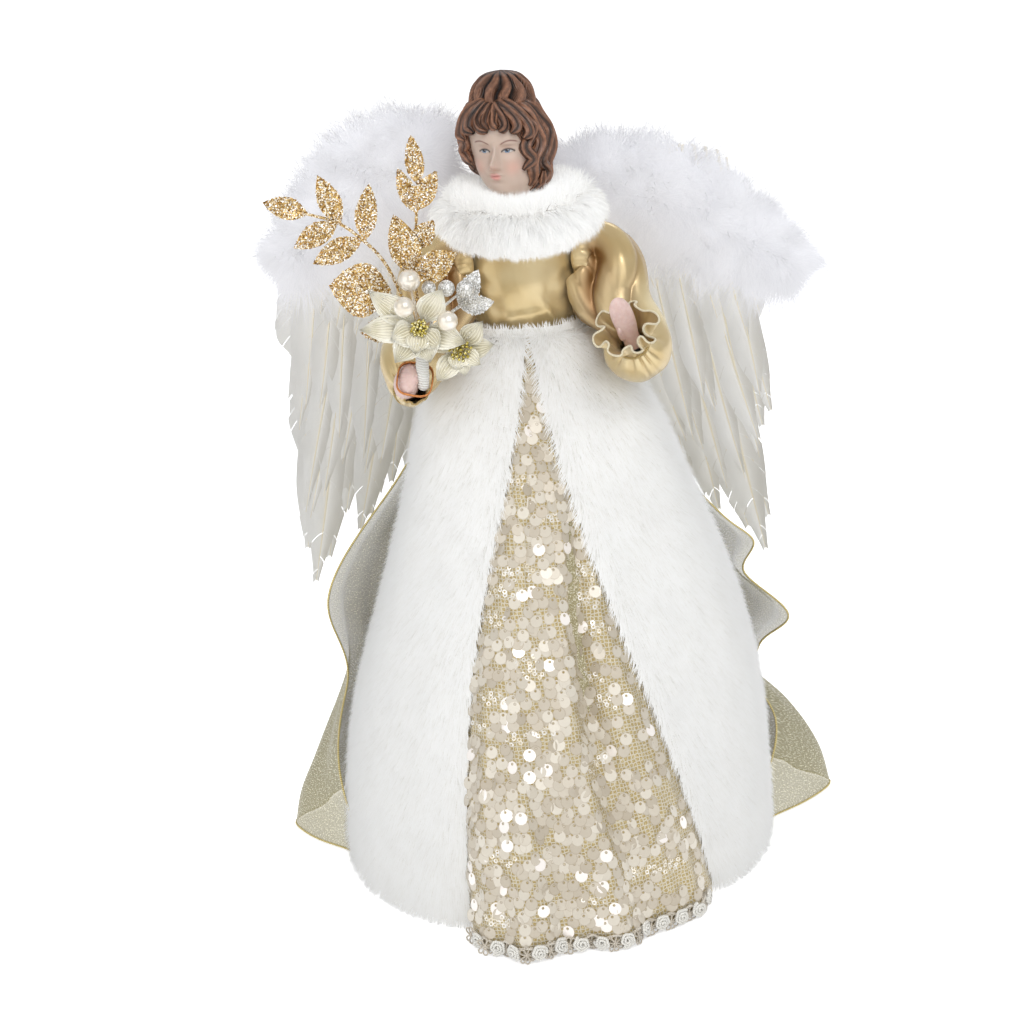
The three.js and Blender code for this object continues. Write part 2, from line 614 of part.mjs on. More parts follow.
// A mitten-like cast hand: wrist, palm and fingers in one taper, broad across and thin through.
function hand(wrist, { along, wide, thin, length }) {
  const sections = [
    [0, WRIST_RADIUS, WRIST_RADIUS],
    [0.2, WRIST_RADIUS * 0.95, WRIST_RADIUS * 0.85],
    [0.42, HAND_HALF_WIDTH, WRIST_RADIUS * 0.8],
    [0.62, HAND_HALF_WIDTH * 0.96, WRIST_RADIUS * 0.7],
    [0.85, HAND_HALF_WIDTH * 0.78, WRIST_RADIUS * 0.5],
    [0.96, HAND_HALF_WIDTH * 0.5, WRIST_RADIUS * 0.35],
    [1, HAND_HALF_WIDTH * 0.2, WRIST_RADIUS * 0.15],
  ];
  return loft(
    sections.map(([share, halfWidth, halfDepth]) => {
      const centre = wrist.clone().addScaledVector(along, share * length);
      return ringAt(centre, wide, thin, 10, halfWidth, halfDepth);
    }),
  );
}

function arm(name, side) {
  const group = new THREE.Group();
  group.position.set(side * (BODICE_HALF_WIDTH + CLEARANCE), -3, SHOULDER_HEIGHT);
  angel.add(group);
  const line = armLine(name, side);
  const wrist = line.getPointAt(GATHER);
  const frame = handFrame(HAND_POSES[name]);
  const shares = [0.01, 0.12, 0.26, 0.4, 0.54, 0.68, GATHER];
  const route = shares.map((share) => line.getPointAt(share));
  const stop = wrist.clone().addScaledVector(frame.along, -CLEARANCE);
  route[route.length - 1] = stop.addScaledVector(line.getTangentAt(GATHER), -WIRE_RADIUS);
  place(group, `sleeve_${name}`, sleeve(line, side), PAINTS.satin);
  place(group, `cuff_elastic_${name}`, cuffElastic(line), PAINTS.wire);
  place(group, `hand_${name}`, hand(wrist, frame), PAINTS.bisque);
  place(group, `arm_wire_${name}`, wire(route, WIRE_RADIUS, 14), PAINTS.wire);
  return { group, wrist, ...frame };
}

arm("left", 1);
const rightArm = arm("right", -1);

// Wings, each in a group that turns about the upright wire behind the doll's back

const postX = WING_POST_SPACING / 2;
const postY = BODICE_HALF_DEPTH * Math.sqrt(1 - (postX / BODICE_HALF_WIDTH) ** 2) + CLEARANCE + WIRE_RADIUS;
const patchFront = Math.max(postY + WIRE_RADIUS, BODICE_HALF_DEPTH) + CLEARANCE;
const postFoot = WAIST + WING_POST_RISE;
const postHead = postFoot + WING_POST_LENGTH;
const cardFront = WING_SET_BACK + FEATHER_LAYERS * (FEATHER_THICKNESS + CLEARANCE) + CLEARANCE;

// Felt patch sewn over both wing wires.
function wingPatch() {
  const halfWidth = postX + PATCH_BORDER;
  const halfHeight = WING_POST_LENGTH / 2 - 2;
  const shape = new THREE.Shape();
  shape.absellipse(0, 0, halfWidth, halfHeight, 0, TURN);
  const options = { depth: PATCH_THICKNESS, bevelEnabled: false, curveSegments: 10 };
  return asSurface(new THREE.ExtrudeGeometry(shape, options).rotateX(Math.PI / 2));
}

// Shaped card that the feathers are glued to.
function wingCard(side) {
  const low = TORSO_TOP - 16;
  const high = low + WING_CARD_HEIGHT;
  const shape = new THREE.Shape();
  shape.moveTo(WING_CARD_START, low);
  shape.quadraticCurveTo(WING_CARD_REACH * 0.6, low + 2, WING_CARD_REACH, low + 4);
  shape.quadraticCurveTo(WING_CARD_REACH * 0.92, high, WING_CARD_REACH * 0.55, high);
  shape.quadraticCurveTo(WING_CARD_START + 6, high - 2, WING_CARD_START, low);
  const options = { depth: WING_CARD, bevelEnabled: false, curveSegments: 5 };
  const flat = new THREE.ExtrudeGeometry(shape, options).rotateX(Math.PI / 2);
  return asSurface(flat.scale(side, 1, 1).translate(0, cardFront + WING_CARD, 0));
}

// Bent wire: out along the card's back, down the upright post, and out again below.
function wingWire(side) {
  const back = cardFront + WING_CARD + CLEARANCE + WIRE_RADIUS;
  const points = [
    [WING_CARD_REACH * 0.8, back, TORSO_TOP + 2],
    [WING_CARD_START + 26, back, TORSO_TOP + 4],
    [WING_CARD_START - 6, back, postHead + 10],
    [5, 5, postHead + 4],
    [0, 0, postHead],
    [0, 0, (postHead + postFoot) / 2],
    [0, 0, postFoot],
    [5, 5, postFoot - 3],
    [WING_CARD_START - 6, back, postFoot + 2],
    [WING_CARD_START + 14, back, TORSO_TOP - 12],
    [WING_CARD_START + 40, back, TORSO_TOP - 12],
  ];
  return wire(points.map(([x, y, z]) => vec(side * x, y, z)), WIRE_RADIUS, 30);
}

// Feather of a wing: its quill on the card and its tip hanging down, in one of a few layers that clear each other.
function wingFeather(side, i) {
  const share = i / (FEATHERS - 1);
  const short = mix(FEATHER_INNER, FEATHER_OUTER, share);
  const length = mix(short, FEATHER_LONG, Math.sin(Math.PI * share ** 1.2) ** 1.3);
  const lean = mix(FEATHER_LEAN_INNER, FEATHER_LEAN_OUTER, share);
  const rootX = mix(WING_CARD_START + 10, WING_CARD_REACH - 13, share);
  const rootZ = TORSO_TOP + 14 + 17 * Math.sin(Math.PI * mix(0.15, 0.8, share));
  const layer = WING_SET_BACK + (i % FEATHER_LAYERS) * (FEATHER_THICKNESS + CLEARANCE) + FEATHER_THICKNESS / 2;
  const base = vec(side * rootX, layer, rootZ);
  const tip = base.clone().add(vec(side * length * Math.sin(lean), 0, -length * Math.cos(lean)));
  return blade({
    base,
    tip,
    normal: vec(0, -1, 0),
    halfWidth: FEATHER_HALF_WIDTH,
    thickness: FEATHER_THICKNESS,
    fullest: 0.62,
    stations: 8,
  });
}

// Heights of the down's middle over the torso's top, from the neck outward. The right wing is set higher.
const DOWN_RISES = { left: [18.5, 8, -7, -21, -34], right: [34, 31, 14, -2, -12] };

// Marabou down along the wing's leading edge, a fat roll that lies in front of the quills.
function wingDown(name, side, reach) {
  const y = WING_SET_BACK - CLEARANCE - DOWN_HALF_DEPTH;
  const outward = [WING_CARD_START + 8, reach * 0.44, reach * 0.625, reach * 0.81, reach * 0.955];
  const path = new THREE.CatmullRomCurve3(
    outward.map((x, i) => vec(side * x, y, TORSO_TOP + DOWN_RISES[name][i])),
  );
  const plumpness = [0.62, 0.9, 1, 1, 0.96, 0.86, 0.72, 0.54, 0.24];
  const shares = plumpness.map((_, i) => i / (plumpness.length - 1));
  const rings = framesAlong(path, shares).map(({ centre, u, v }, i) =>
    ringAt(centre, u, v, 12, DOWN_HALF_DEPTH * Math.sqrt(plumpness[i]), DOWN_HALF_HEIGHT * plumpness[i]),
  );
  return loft(rings);
}

function wing(name, side, downReach) {
  const group = new THREE.Group();
  group.position.set(side * postX, postY, 0);
  angel.add(group);
  place(group, `wing_card_${name}`, wingCard(side), PAINTS.card);
  place(group, `wing_wire_${name}`, wingWire(side), PAINTS.wire);
  for (let i = 0; i < FEATHERS; i++)
    place(group, `wing_feather_${name}_${i + 1}`, wingFeather(side, i), PAINTS.feather);
  place(group, `wing_down_${name}`, wingDown(name, side, downReach), PAINTS.down);
}

const patch = place(angel, "wing_patch", wingPatch(), PAINTS.satin);
patch.position.set(0, patchFront + PATCH_THICKNESS, (postFoot + postHead) / 2);
wing("left", 1, LEFT_DOWN_REACH);
wing("right", -1, RIGHT_DOWN_REACH);

// Bouquet, carried by the right hand

// The taped stems lie across the fingers, on the side of the hand that is nearer the body.
const BUNDLE_FOOT = vec(-1, 4, -BUNDLE_LENGTH);
const HELD_AT = 0.15;
const fingers = rightArm.wrist.clone().addScaledVector(rightArm.along, 0.85 * HAND_LENGTH);
const held = fingers.clone().addScaledVector(rightArm.thin, -WRIST_RADIUS / 2 - CLEARANCE - BUNDLE_RADIUS);

// Every pick of the bouquet is placed from the top of its taped stems: +X to the doll's left, -Y forward.
const bouquet = new THREE.Group();
bouquet.position.copy(held).addScaledVector(BUNDLE_FOOT, HELD_AT - 1);
rightArm.group.add(bouquet);

const stem = (points, radius = STEM_RADIUS) => wire(points.map(([x, y, z]) => vec(x, y, z)), radius, 2 * points.length);
const bead = (x, y, z, radius) => asSurface(new THREE.SphereGeometry(radius, 9, 6).translate(x, y, z));

// A leaf or petal given by its base, tip and half width, lying across the view from the front.
const frond = ([bx, by, bz], [tx, ty, tz], halfWidth, facing = vec(0, -1, 0.3), bow = 1.5) =>
  blade({
    base: vec(bx, by, bz),
    tip: vec(tx, ty, tz),
    normal: facing,
    halfWidth,
    thickness: LEAF_THICKNESS,
    bow,
    stalk: 0.2,
    stations: 6,
  });

// Where a pick's stem meets the taped bundle: a share of the way up it, and degrees round it from the doll's left.
// A stem that lies along the bundle stands off by its own radius, and one that butts on it doesn't.
function seat(share, degrees, standOff = STEM_RADIUS) {
  const angle = THREE.MathUtils.degToRad(degrees);
  const reach = BUNDLE_RADIUS + CLEARANCE + standOff;
  const { x, y, z } = BUNDLE_FOOT.clone().lerp(vec(0, 0, 0), share);
  return [x + reach * Math.cos(angle), y + reach * Math.sin(angle), z];
}

// White floral tape round the gathered stems.
function stemBundle() {
  const rings = [[0, 0.8], [0.15, 1], [1, 1]].map(([share, size]) =>
    ringAt(BUNDLE_FOOT.clone().lerp(vec(0, 0, 0), share), vec(1, 0, 0), vec(0, 1, 0), 10, BUNDLE_RADIUS * size),
  );
  return loft(rings);
}

// Gold glitter spray with leaves both sides of a stem that arches out to the doll's right.
function leafSprayOut() {
  return joined(
    stem([seat(0.9, 125), [-5, 6.5, 6], [-8.5, 9, 18], [-14.6, 9.5, 32], [-22.7, 9.5, 41.7], [-33, 10, 50], [-47, 11, 55]]),
    frond([-46, 11, 54.7], [-65.5, 12, 61], 4.9),
    frond([-32, 10, 49.5], [-40, 11, 71.5], 5),
    frond([-33, 10, 50], [-53.5, 10, 40], 5),
    frond([-23, 9.5, 42], [-45.5, 9, 32.5], 5.2),
    frond([-22, 9.5, 41], [-17.5, 10, 66.5], 4.9),
  );
}

// Gold glitter spray that stands up beside the collar.
function leafSprayUp() {
  return joined(
    stem([seat(0.95, 90), [0, 6, 7], [-1, 9, 22], [1, 10, 40], [3, 11, 58], [5, 12, 68]]),
    frond([4, 11.5, 64], [2.5, 13, 86], 4),
    frond([2, 10.5, 52], [-4.5, 12, 72], 3.8),
    frond([2.5, 10.5, 53], [12.5, 12, 69.5], 4.6),
    frond([0.5, 10, 36], [9.5, 10, 48], 4.8),
    frond([-1, 9, 24], [-8, 10, 52], 6.8),
    frond([-1, 9, 22], [18.5, 9, 33], 6.8),
  );
}

// Two broad glitter leaves low in the bouquet.
function broadLeaves() {
  return joined(
    stem([seat(0.86, 175), [-7.5, 5, 3], [-10, 6.2, 11], [-13, 5, 19]]),
    frond([-12, 5, 18], [-39, 4, 23], 12, vec(0, -1, 0.15), 1),
    frond([-7, 5, 2.4], [-27, 3, 0.5], 6, vec(0, -1, 0.15), 1),
  );
}

// Organza poinsettia with a button of stamens, facing forward.
function poinsettia() {
  const petals = [[182, 26], [138, 27], [55, 21], [-22, 21], [-78, 17], [-128, 19]];
  const fronds = petals.map(([degrees, length]) => {
    const angle = THREE.MathUtils.degToRad(degrees);
    const [x, z] = [Math.cos(angle), Math.sin(angle)];
    return frond([2 * x, -4.6, 4 + 2 * z], [length * x, -5, 4 + length * z], 6.5, vec(0, -1, 0), 1);
  });
  return joined(stem([seat(0.9, 270), [0, -5, 1], [0, -5.5, 4]]), bead(0, -6.4, 4, 4), ...fronds);
}

// Smaller flower at the doll's left of the poinsettia.
function smallFlower() {
  const fronds = [[48, 17], [2, 15.5], [-83, 12], [-128, 18.5]].map(([degrees, length]) => {
    const angle = THREE.MathUtils.degToRad(degrees);
    const [x, z] = [Math.cos(angle), Math.sin(angle)];
    const [centreX, centreZ] = [17, -8.5];
    const foot = [centreX + 2 * x, -0.4, centreZ + 2 * z];
    return frond(foot, [centreX + length * x, -1, centreZ + length * z], 5, vec(0, -1, 0), 1);
  });
  return joined(stem([seat(0.72, 345, 0), [9, 0.6, -10], [17, -0.4, -8.5]]), bead(17, -0.8, -8.5, 2.6), ...fronds);
}

// Three pearls on wires twisted into one pick.
function pearlPick() {
  return joined(
    stem([[-0.8, 0.8, STEM_RADIUS + CLEARANCE - 0.5], [-1.8, 1.4, 12], [-3, 0.5, 23]]),
    stem([[-1.7, 1.4, 10], [-1.4, -1, 15], [-2.2, -6, 15.6], [-5, -9.5, 15]]),
    stem([[-1, 0.9, 2], [4, 1.4, 4.4], [11, -1, 7.4], [12.6, -8, 7]]),
    bead(-3, -0.5, 24, PEARL_RADIUS),
    bead(-6, -11, 14.6, PEARL_RADIUS - 0.3),
    bead(12.7, -10.6, 6.8, PEARL_RADIUS - 0.3),
  );
}

// Three silver glitter balls on one pick, with a toothed leaf behind them.
function glitterPick() {
  return joined(
    stem([seat(0.95, 40), [8, 5.4, 9], [13, 5, 17]]),
    stem([[6, 5.2, 6], [13, 5.4, 11], [21, 5, 17]]),
    stem([[4, 5, 3], [6, 5.2, 10], [5.6, 4.6, 18]]),
    bead(13, 4.5, 18, GLITTER_BALL_RADIUS - 0.4),
    bead(21.5, 4.5, 17, GLITTER_BALL_RADIUS),
    bead(5.2, 4, 19, GLITTER_BALL_RADIUS - 1),
  );
}

function silverLeaf() {
  return joined(
    stem([seat(0.84, 60), [6, 8, 0], [12, 10, 4], [20, 10.5, 9]]),
    frond([18, 10.5, 8], [30, 11, 27], 6, vec(0, -1, 0), 1),
    frond([18, 10.5, 8], [36, 10, 10], 5, vec(0, -1, 0), 1),
  );
}

// Copper wire wound once round the fingers and the stems, in the plane square to the hand.
function tieWire() {
  const { along, wide, thin } = rightArm;
  const slant = Math.abs(BUNDLE_FOOT.clone().normalize().dot(along));
  const room = CLEARANCE + TIE_WIRE_RADIUS;
  const halfHeight = Math.max(0.8 * HAND_HALF_WIDTH, BUNDLE_RADIUS / slant) + room;
  const halfLength = WRIST_RADIUS / 4 + CLEARANCE / 2 + BUNDLE_RADIUS + WRIST_RADIUS / 4 + room;
  const centre = fingers.clone().sub(bouquet.position);
  centre.addScaledVector(thin, WRIST_RADIUS / 2 + room - halfLength);
  const square = (value) => Math.sign(value) * Math.abs(value) ** 0.55;
  const steps = 24;
  const rings = Array.from({ length: steps }, (_, i) => {
    const angle = (TURN * i) / steps;
    const out = thin.clone().multiplyScalar(Math.cos(angle)).addScaledVector(wide, Math.sin(angle));
    const ring = centre.clone();
    ring.addScaledVector(thin, halfLength * square(Math.cos(angle)));
    ring.addScaledVector(wide, halfHeight * square(Math.sin(angle)));
    return ringAt(ring, out, along, 5, TIE_WIRE_RADIUS);
  });
  return loft(rings, true);
}

place(bouquet, "stem_bundle", stemBundle(), PAINTS.tape);
place(bouquet, "leaf_spray_out", leafSprayOut(), PAINTS.glitter);
place(bouquet, "leaf_spray_up", leafSprayUp(), PAINTS.glitter);
place(bouquet, "broad_leaves", broadLeaves(), PAINTS.glitter);
place(bouquet, "poinsettia", poinsettia(), PAINTS.petal);
place(bouquet, "small_flower", smallFlower(), PAINTS.petal);
place(bouquet, "pearl_pick", pearlPick(), PAINTS.pearl);
place(bouquet, "glitter_pick", glitterPick(), PAINTS.silver);
place(bouquet, "silver_leaf", silverLeaf(), PAINTS.silver);
place(bouquet, "tie_wire", tieWire(), PAINTS.wire);

export default angel;
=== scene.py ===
import math

import bpy
import numpy as np
from mathutils import Matrix, Vector


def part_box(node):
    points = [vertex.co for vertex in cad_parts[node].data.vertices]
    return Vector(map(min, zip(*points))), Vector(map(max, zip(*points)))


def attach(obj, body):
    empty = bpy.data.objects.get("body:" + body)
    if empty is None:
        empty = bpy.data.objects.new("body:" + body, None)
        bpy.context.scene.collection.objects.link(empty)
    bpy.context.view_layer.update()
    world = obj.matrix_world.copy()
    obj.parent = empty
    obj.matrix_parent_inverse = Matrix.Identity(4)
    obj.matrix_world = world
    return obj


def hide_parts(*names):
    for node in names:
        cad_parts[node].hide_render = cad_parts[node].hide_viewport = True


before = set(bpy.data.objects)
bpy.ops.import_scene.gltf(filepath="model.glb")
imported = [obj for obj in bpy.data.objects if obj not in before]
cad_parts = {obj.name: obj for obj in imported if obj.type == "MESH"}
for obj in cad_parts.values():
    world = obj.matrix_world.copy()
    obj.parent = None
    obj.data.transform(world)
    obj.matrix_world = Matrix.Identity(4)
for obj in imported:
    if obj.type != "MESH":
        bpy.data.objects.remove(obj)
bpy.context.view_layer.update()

# Studio: a broad soft light at the front right with a small one beside it for glints, a weaker soft one at
# the front left and one from behind, in pale air. The camera stands a metre off, twenty degrees up and rolled.
scene = bpy.context.scene
scene.view_settings.view_transform = "Standard"
scene.view_settings.look = "None"


def studio_light(name, place, aim, size, power):
    """A square area light of the given side in metres, turned from its place to its aim."""
    data = bpy.data.lights.new(name, "AREA")
    data.size = size
    data.energy = power
    lamp = bpy.data.objects.new(name, data)
    lamp.location = place
    lamp.rotation_mode = "QUATERNION"
    lamp.rotation_quaternion = (Vector(aim) - Vector(place)).to_track_quat("-Z", "Y")
    scene.collection.objects.link(lamp)


studio_light("key_light", (0.8, -1.9, 1.8), (0, 0, 0.2), size=2.0, power=20)
studio_light("spark_light", (0.5, -1.5, 2.0), (0, 0, 0.2), size=0.35, power=6)
studio_light("fill_light", (-1.7, -1.4, 1.2), (0, 0, 0.2), size=2.0, power=13)
studio_light("back_light", (0.4, 1.7, 1.9), (0, 0, 0.25), size=1.2, power=15)

world = bpy.data.worlds.new("studio_air")
world.use_nodes = True
world.node_tree.nodes["Background"].inputs["Color"].default_value = (0.97, 0.985, 1.0, 1)
world.node_tree.nodes["Background"].inputs["Strength"].default_value = 0.6
scene.world = world

camera_data = bpy.data.cameras.new("camera")
camera_data.sensor_fit = "HORIZONTAL"
camera_data.angle = math.radians(29.05)
camera_data.clip_end = 50
camera = bpy.data.objects.new("camera", camera_data)
elevation, roll = math.radians(20), math.radians(-4.1)
camera_back = Vector((0, -math.cos(elevation), math.sin(elevation)))
level_right = Vector((1, 0, 0))
level_up = camera_back.cross(level_right)
camera_right = math.cos(roll) * level_right + math.sin(roll) * level_up
camera_up = math.cos(roll) * level_up - math.sin(roll) * level_right
turned = Matrix((camera_right, camera_up, camera_back)).transposed().to_4x4()
looked_at = Vector((-0.0134, 0, 0.1798))
camera.matrix_world = Matrix.Translation(looked_at + camera_back) @ turned
scene.collection.objects.link(camera)
scene.camera = camera


# Tree cone and torso: a rolled card cone with a moulded pulp torso plugged into its top, both hidden under
# the clothes. They keep their solids and get the fibre and mottle of the two boards.
class Socket:
    """An output of a material's node; arithmetic with numbers or other sockets adds Math nodes."""

    def __init__(self, tree, output):
        self.tree, self.output = tree, output

    def node(self, kind, inputs, output=0, **settings):
        """Adds a node of that kind, sets it, feeds its inputs by name or number and returns an output."""
        made = self.tree.nodes.new("ShaderNode" + kind)
        for name, value in settings.items():
            setattr(made, name, value)
        for key, value in inputs.items():
            if isinstance(value, Socket):
                self.tree.links.new(value.output, made.inputs[key])
            else:
                made.inputs[key].default_value = value
        return Socket(self.tree, made.outputs[output])

    def math(self, operation, first, second=0.0):
        """One Math node."""
        return self.node("Math", {0: first, 1: second}, operation=operation)

    def __add__(self, other):
        return self.math("ADD", self, other)

    def __radd__(self, other):
        return self.math("ADD", other, self)

    def __sub__(self, other):
        return self.math("SUBTRACT", self, other)

    def __rsub__(self, other):
        return self.math("SUBTRACT", other, self)

    def __mul__(self, other):
        return self.math("MULTIPLY", self, other)

    def __rmul__(self, other):
        return self.math("MULTIPLY", other, self)

    def sine(self):
        """The sine of this, in radians."""
        return self.math("SINE", self)

    def size(self):
        """This without its sign."""
        return self.math("ABSOLUTE", self)

    def between(self, low, high):
        """0 below low, 1 above high and smooth between them."""
        steps = {"Value": self, "From Min": low, "From Max": high}
        return self.node("MapRange", steps, interpolation_type="SMOOTHSTEP")

    def mix(self, low, high):
        """Colour low where this is 0 and high where it is 1."""
        return self.node("Mix", {0: self, 6: low, 7: high}, 2, data_type="RGBA")

    def part(self, axis):
        """One number of a place, by axis 0, 1 or 2."""
        return self.node("SeparateXYZ", {0: self}, axis)

    def stretched(self, x, y, z):
        """This place with each axis times its own factor."""
        return self.node("VectorMath", {0: self, 1: (x, y, z)}, operation="MULTIPLY")

    def noise(self, scale, detail=3.0, roughness=0.55):
        """Noise of this place, from 0 to 1, with about scale lumps in a millimetre."""
        steps = {"Vector": self, "Scale": scale, "Detail": detail, "Roughness": roughness}
        return self.node("TexNoise", steps)

    def cells(self, scale, output, randomness=1.0, feature="F1"):
        """Cells of this place, about scale of them in a millimetre."""
        steps = {"Vector": self, "Scale": scale, "Randomness": randomness}
        return self.node("TexVoronoi", steps, output, feature=feature)


def linear(red, green, blue):
    """A colour picked on a screen, 0 to 255, as the light values that a shader takes."""
    shares = [value / 255 for value in (red, green, blue)]
    return tuple(s / 12.92 if s < 11 / 255 else ((s + 0.055) / 1.055) ** 2.4 for s in shares) + (1,)


class Finish:
    """A Principled material, with sockets for place in millimetres, cloth coordinates and painted colour."""

    def __init__(self, name, **constants):
        self.material = bpy.data.materials.new(name)
        self.material.use_nodes = True
        tree = self.material.node_tree
        self.shader = tree.nodes["Principled BSDF"]
        for key, value in constants.items():
            self.shader.inputs[key.replace("_", " ").title()].default_value = value
        where = tree.nodes.new("ShaderNodeTexCoord")
        self.place = Socket(tree, where.outputs["Object"]).stretched(1000, 1000, 1000)
        self.cloth = Socket(tree, where.outputs["UV"])

    def painted(self):
        """The colour that is painted on the points."""
        return self.place.node("Attribute", {}, "Color", attribute_name="paint")

    def twist(self, pitch):
        """Waves from -1 to 1 that wind along a cord, whose first cloth coordinate goes from 0 to 1 round it."""
        return (self.cloth.part(0) * 6.28 + self.cloth.part(1) * pitch).sine()

    def feed(self, **inputs):
        """Links sockets to the shader's inputs of those names."""
        for key, value in inputs.items():
            self.place.tree.links.new(value.output, self.shader.inputs[key.replace("_", " ").title()])
        return self

    def bump(self, height, millimetres):
        """Relief of that many millimetres where the height goes from 0 to 1."""
        return self.feed(normal=self.place.node("Bump", {"Height": height, "Distance": millimetres / 1000}))


card = Finish("card", roughness=0.85)
fibres = card.place.stretched(1, 1, 0.25).noise(2.2, 5)
card.feed(base_color=fibres.between(0.3, 0.7).mix(linear(190, 172, 142), linear(226, 214, 190)))
card.bump(fibres, 0.12)
pulp = Finish("pulp", roughness=0.9)
lumps = pulp.place.noise(0.6, 6)
pulp.feed(base_color=lumps.between(0.3, 0.7).mix(linear(196, 188, 172), linear(228, 222, 208)))
pulp.bump(lumps, 0.5)


def coat(material, *nodes):
    """Gives solids that stay in view a finer material."""
    for node in nodes:
        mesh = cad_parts[node].data
        mesh.materials.clear()
        mesh.materials.append(material.material)


coat(card, "tree_cone")
coat(pulp, "torso_core")


# Floor: a plain white paper sweep under the figure, which is stage and no part of it.
# It is brighter than paper, so that only the soft shadow at the hem shows on it.
def piece(name, shape, finish, body, slot, *nodes, paint=None, facing=None, smooth=True, airy=False):
    """A mesh that rides on a body in place of nodes.

    Its shape is points in millimetres, faces of equally many corners and, for a pattern, cloth places.
    Paint is a tone or a colour for each point. An airy piece casts no shadow and sends on no diffuse light.
    """
    points, faces = np.asarray(shape[0], float).reshape(-1, 3), np.asarray(shape[1], int)
    mesh = bpy.data.meshes.new(name)
    mesh.vertices.add(len(points))
    mesh.vertices.foreach_set("co", (points / 1000).ravel())
    mesh.loops.add(faces.size)
    mesh.loops.foreach_set("vertex_index", faces.ravel())
    mesh.polygons.add(len(faces))
    mesh.polygons.foreach_set("loop_start", np.arange(0, faces.size, faces.shape[1]))
    mesh.polygons.foreach_set("use_smooth", np.full(len(faces), smooth))
    mesh.update(calc_edges=True)
    if len(shape) > 2:
        layer = mesh.uv_layers.new(name="cloth")
        layer.data.foreach_set("uv", np.asarray(shape[2], float).reshape(-1, 2)[faces.ravel()].ravel())
    if paint is not None:
        layer = mesh.color_attributes.new("paint", "FLOAT_COLOR", "POINT")
        paint = np.broadcast_to(np.asarray(paint, float).reshape(len(points), -1), (len(points), 3))
        layer.data.foreach_set("color", np.hstack([paint, np.ones((len(points), 1))]).ravel())
    mesh.validate()
    if facing is not None:
        mesh.normals_split_custom_set_from_vertices(np.asarray(facing, float).reshape(-1, 3))
    mesh.materials.append(finish.material)
    made = bpy.data.objects.new(name, mesh)
    made.visible_shadow = made.visible_diffuse = not airy
    scene.collection.objects.link(made)
    if body:
        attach(made, body)
    if nodes:
        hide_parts(*nodes)
    return made


paper = Finish("paper", roughness=0.9, emission_strength=0.56)
seen = [paper.place.node("LightPath", {}, f"Is {ray} Ray") for ray in ("Camera", "Glossy", "Transmission")]
paper.feed(base_color=paper.place.noise(0.02, 2).mix(linear(248, 248, 248), linear(251, 251, 251)),
           emission_color=(seen[0] + seen[1] + seen[2]).mix((0, 0, 0, 1), (1, 1, 1, 1)))
reach, sunk = 9000, -0.6
corners = [(-reach, -reach, sunk), (reach, -reach, sunk), (reach, reach, sunk), (-reach, reach, sunk)]
piece("floor", (corners, [(0, 1, 2, 3)]), paper, None, None, smooth=False)


# Underskirt: a stiff gold lining sewn to the waist, which carries the bell of the skirts over the cone.
# It shows only from below and in the slit at the back.
def mix(low, high, share):
    """low where the share is 0, high where it is 1 and in proportion between."""
    return low + (high - low) * share


def eased(value, low, high):
    """0 below low, 1 above high and 3t^2 - 2t^3 between them."""
    t = np.clip((value - low) / (high - low), 0, 1)
    return t * t * (3 - 2 * t)


def unit(vectors):
    """Vectors over their lengths."""
    return vectors / np.maximum(np.linalg.norm(vectors, axis=-1, keepdims=True), 1e-9)


def around(angle, radius, height):
    """Points at an angle from the front, towards the doll's left: (r sin a, -r cos a, z)."""
    return np.stack(np.broadcast_arrays(radius * np.sin(angle), -radius * np.cos(angle), height), -1)


def grid(points, wraps=False):
    """Quads of a grid of points, rows first; with wraps the last column meets the first."""
    rows, columns = points.shape[:2]
    number = np.arange(rows * columns).reshape(rows, columns)
    if wraps:
        number = np.hstack([number, number[:, :1]])
    return np.stack([number[:-1, :-1], number[1:, :-1], number[1:, 1:], number[:-1, 1:]], -1).reshape(-1, 4)


def lengths(points):
    """Cloth coordinates in millimetres: the way along the rows and down the columns of a grid."""
    across = np.linalg.norm(np.diff(points, axis=1, prepend=points[:, :1]), axis=-1).cumsum(1)
    down = np.linalg.norm(np.diff(points, axis=0, prepend=points[:1]), axis=-1).cumsum(0)
    return np.stack([across - across.mean(1, keepdims=True), down], -1)


def woven(points):
    """A grid of points as a sheet: points, quads and cloth places."""
    return points, grid(points), lengths(points)


def waves(places, size, seed, count=7):
    """Smooth lumps from about -1 to 1: the mean of sines of that wavelength in seeded directions."""
    rng = np.random.default_rng(seed)
    total = np.zeros(places.shape[:-1])
    for _ in range(count):
        heading = unit(rng.normal(size=places.shape[-1])) * rng.uniform(0.7, 1.4) * 2 * np.pi / size
        total += np.sin(places @ heading + rng.uniform(0, 2 * np.pi))
    return total * 1.5 / count


def cloth_area(points):
    """Square metres of a grid of points in millimetres."""
    across, down = points[:-1, 1:] - points[:-1, :-1], points[1:, :-1] - points[:-1, :-1]
    return float(np.linalg.norm(np.cross(across, down), axis=-1).sum() / 1e6)


waist_height, waist_radius, floor_radius = 278, 20.6, 104


def fall(z):
    """How far down the skirt a height is, from 0 at the waist to 1 on the floor."""
    return np.clip(1 - z / waist_height, 0, 1)


def bell(z):
    """Radius of the skirts' form, from the waist's to the floor's by sin(pi/2 fall)^1.15."""
    return mix(waist_radius, floor_radius, np.sin(np.pi / 2 * fall(z)) ** 1.15)


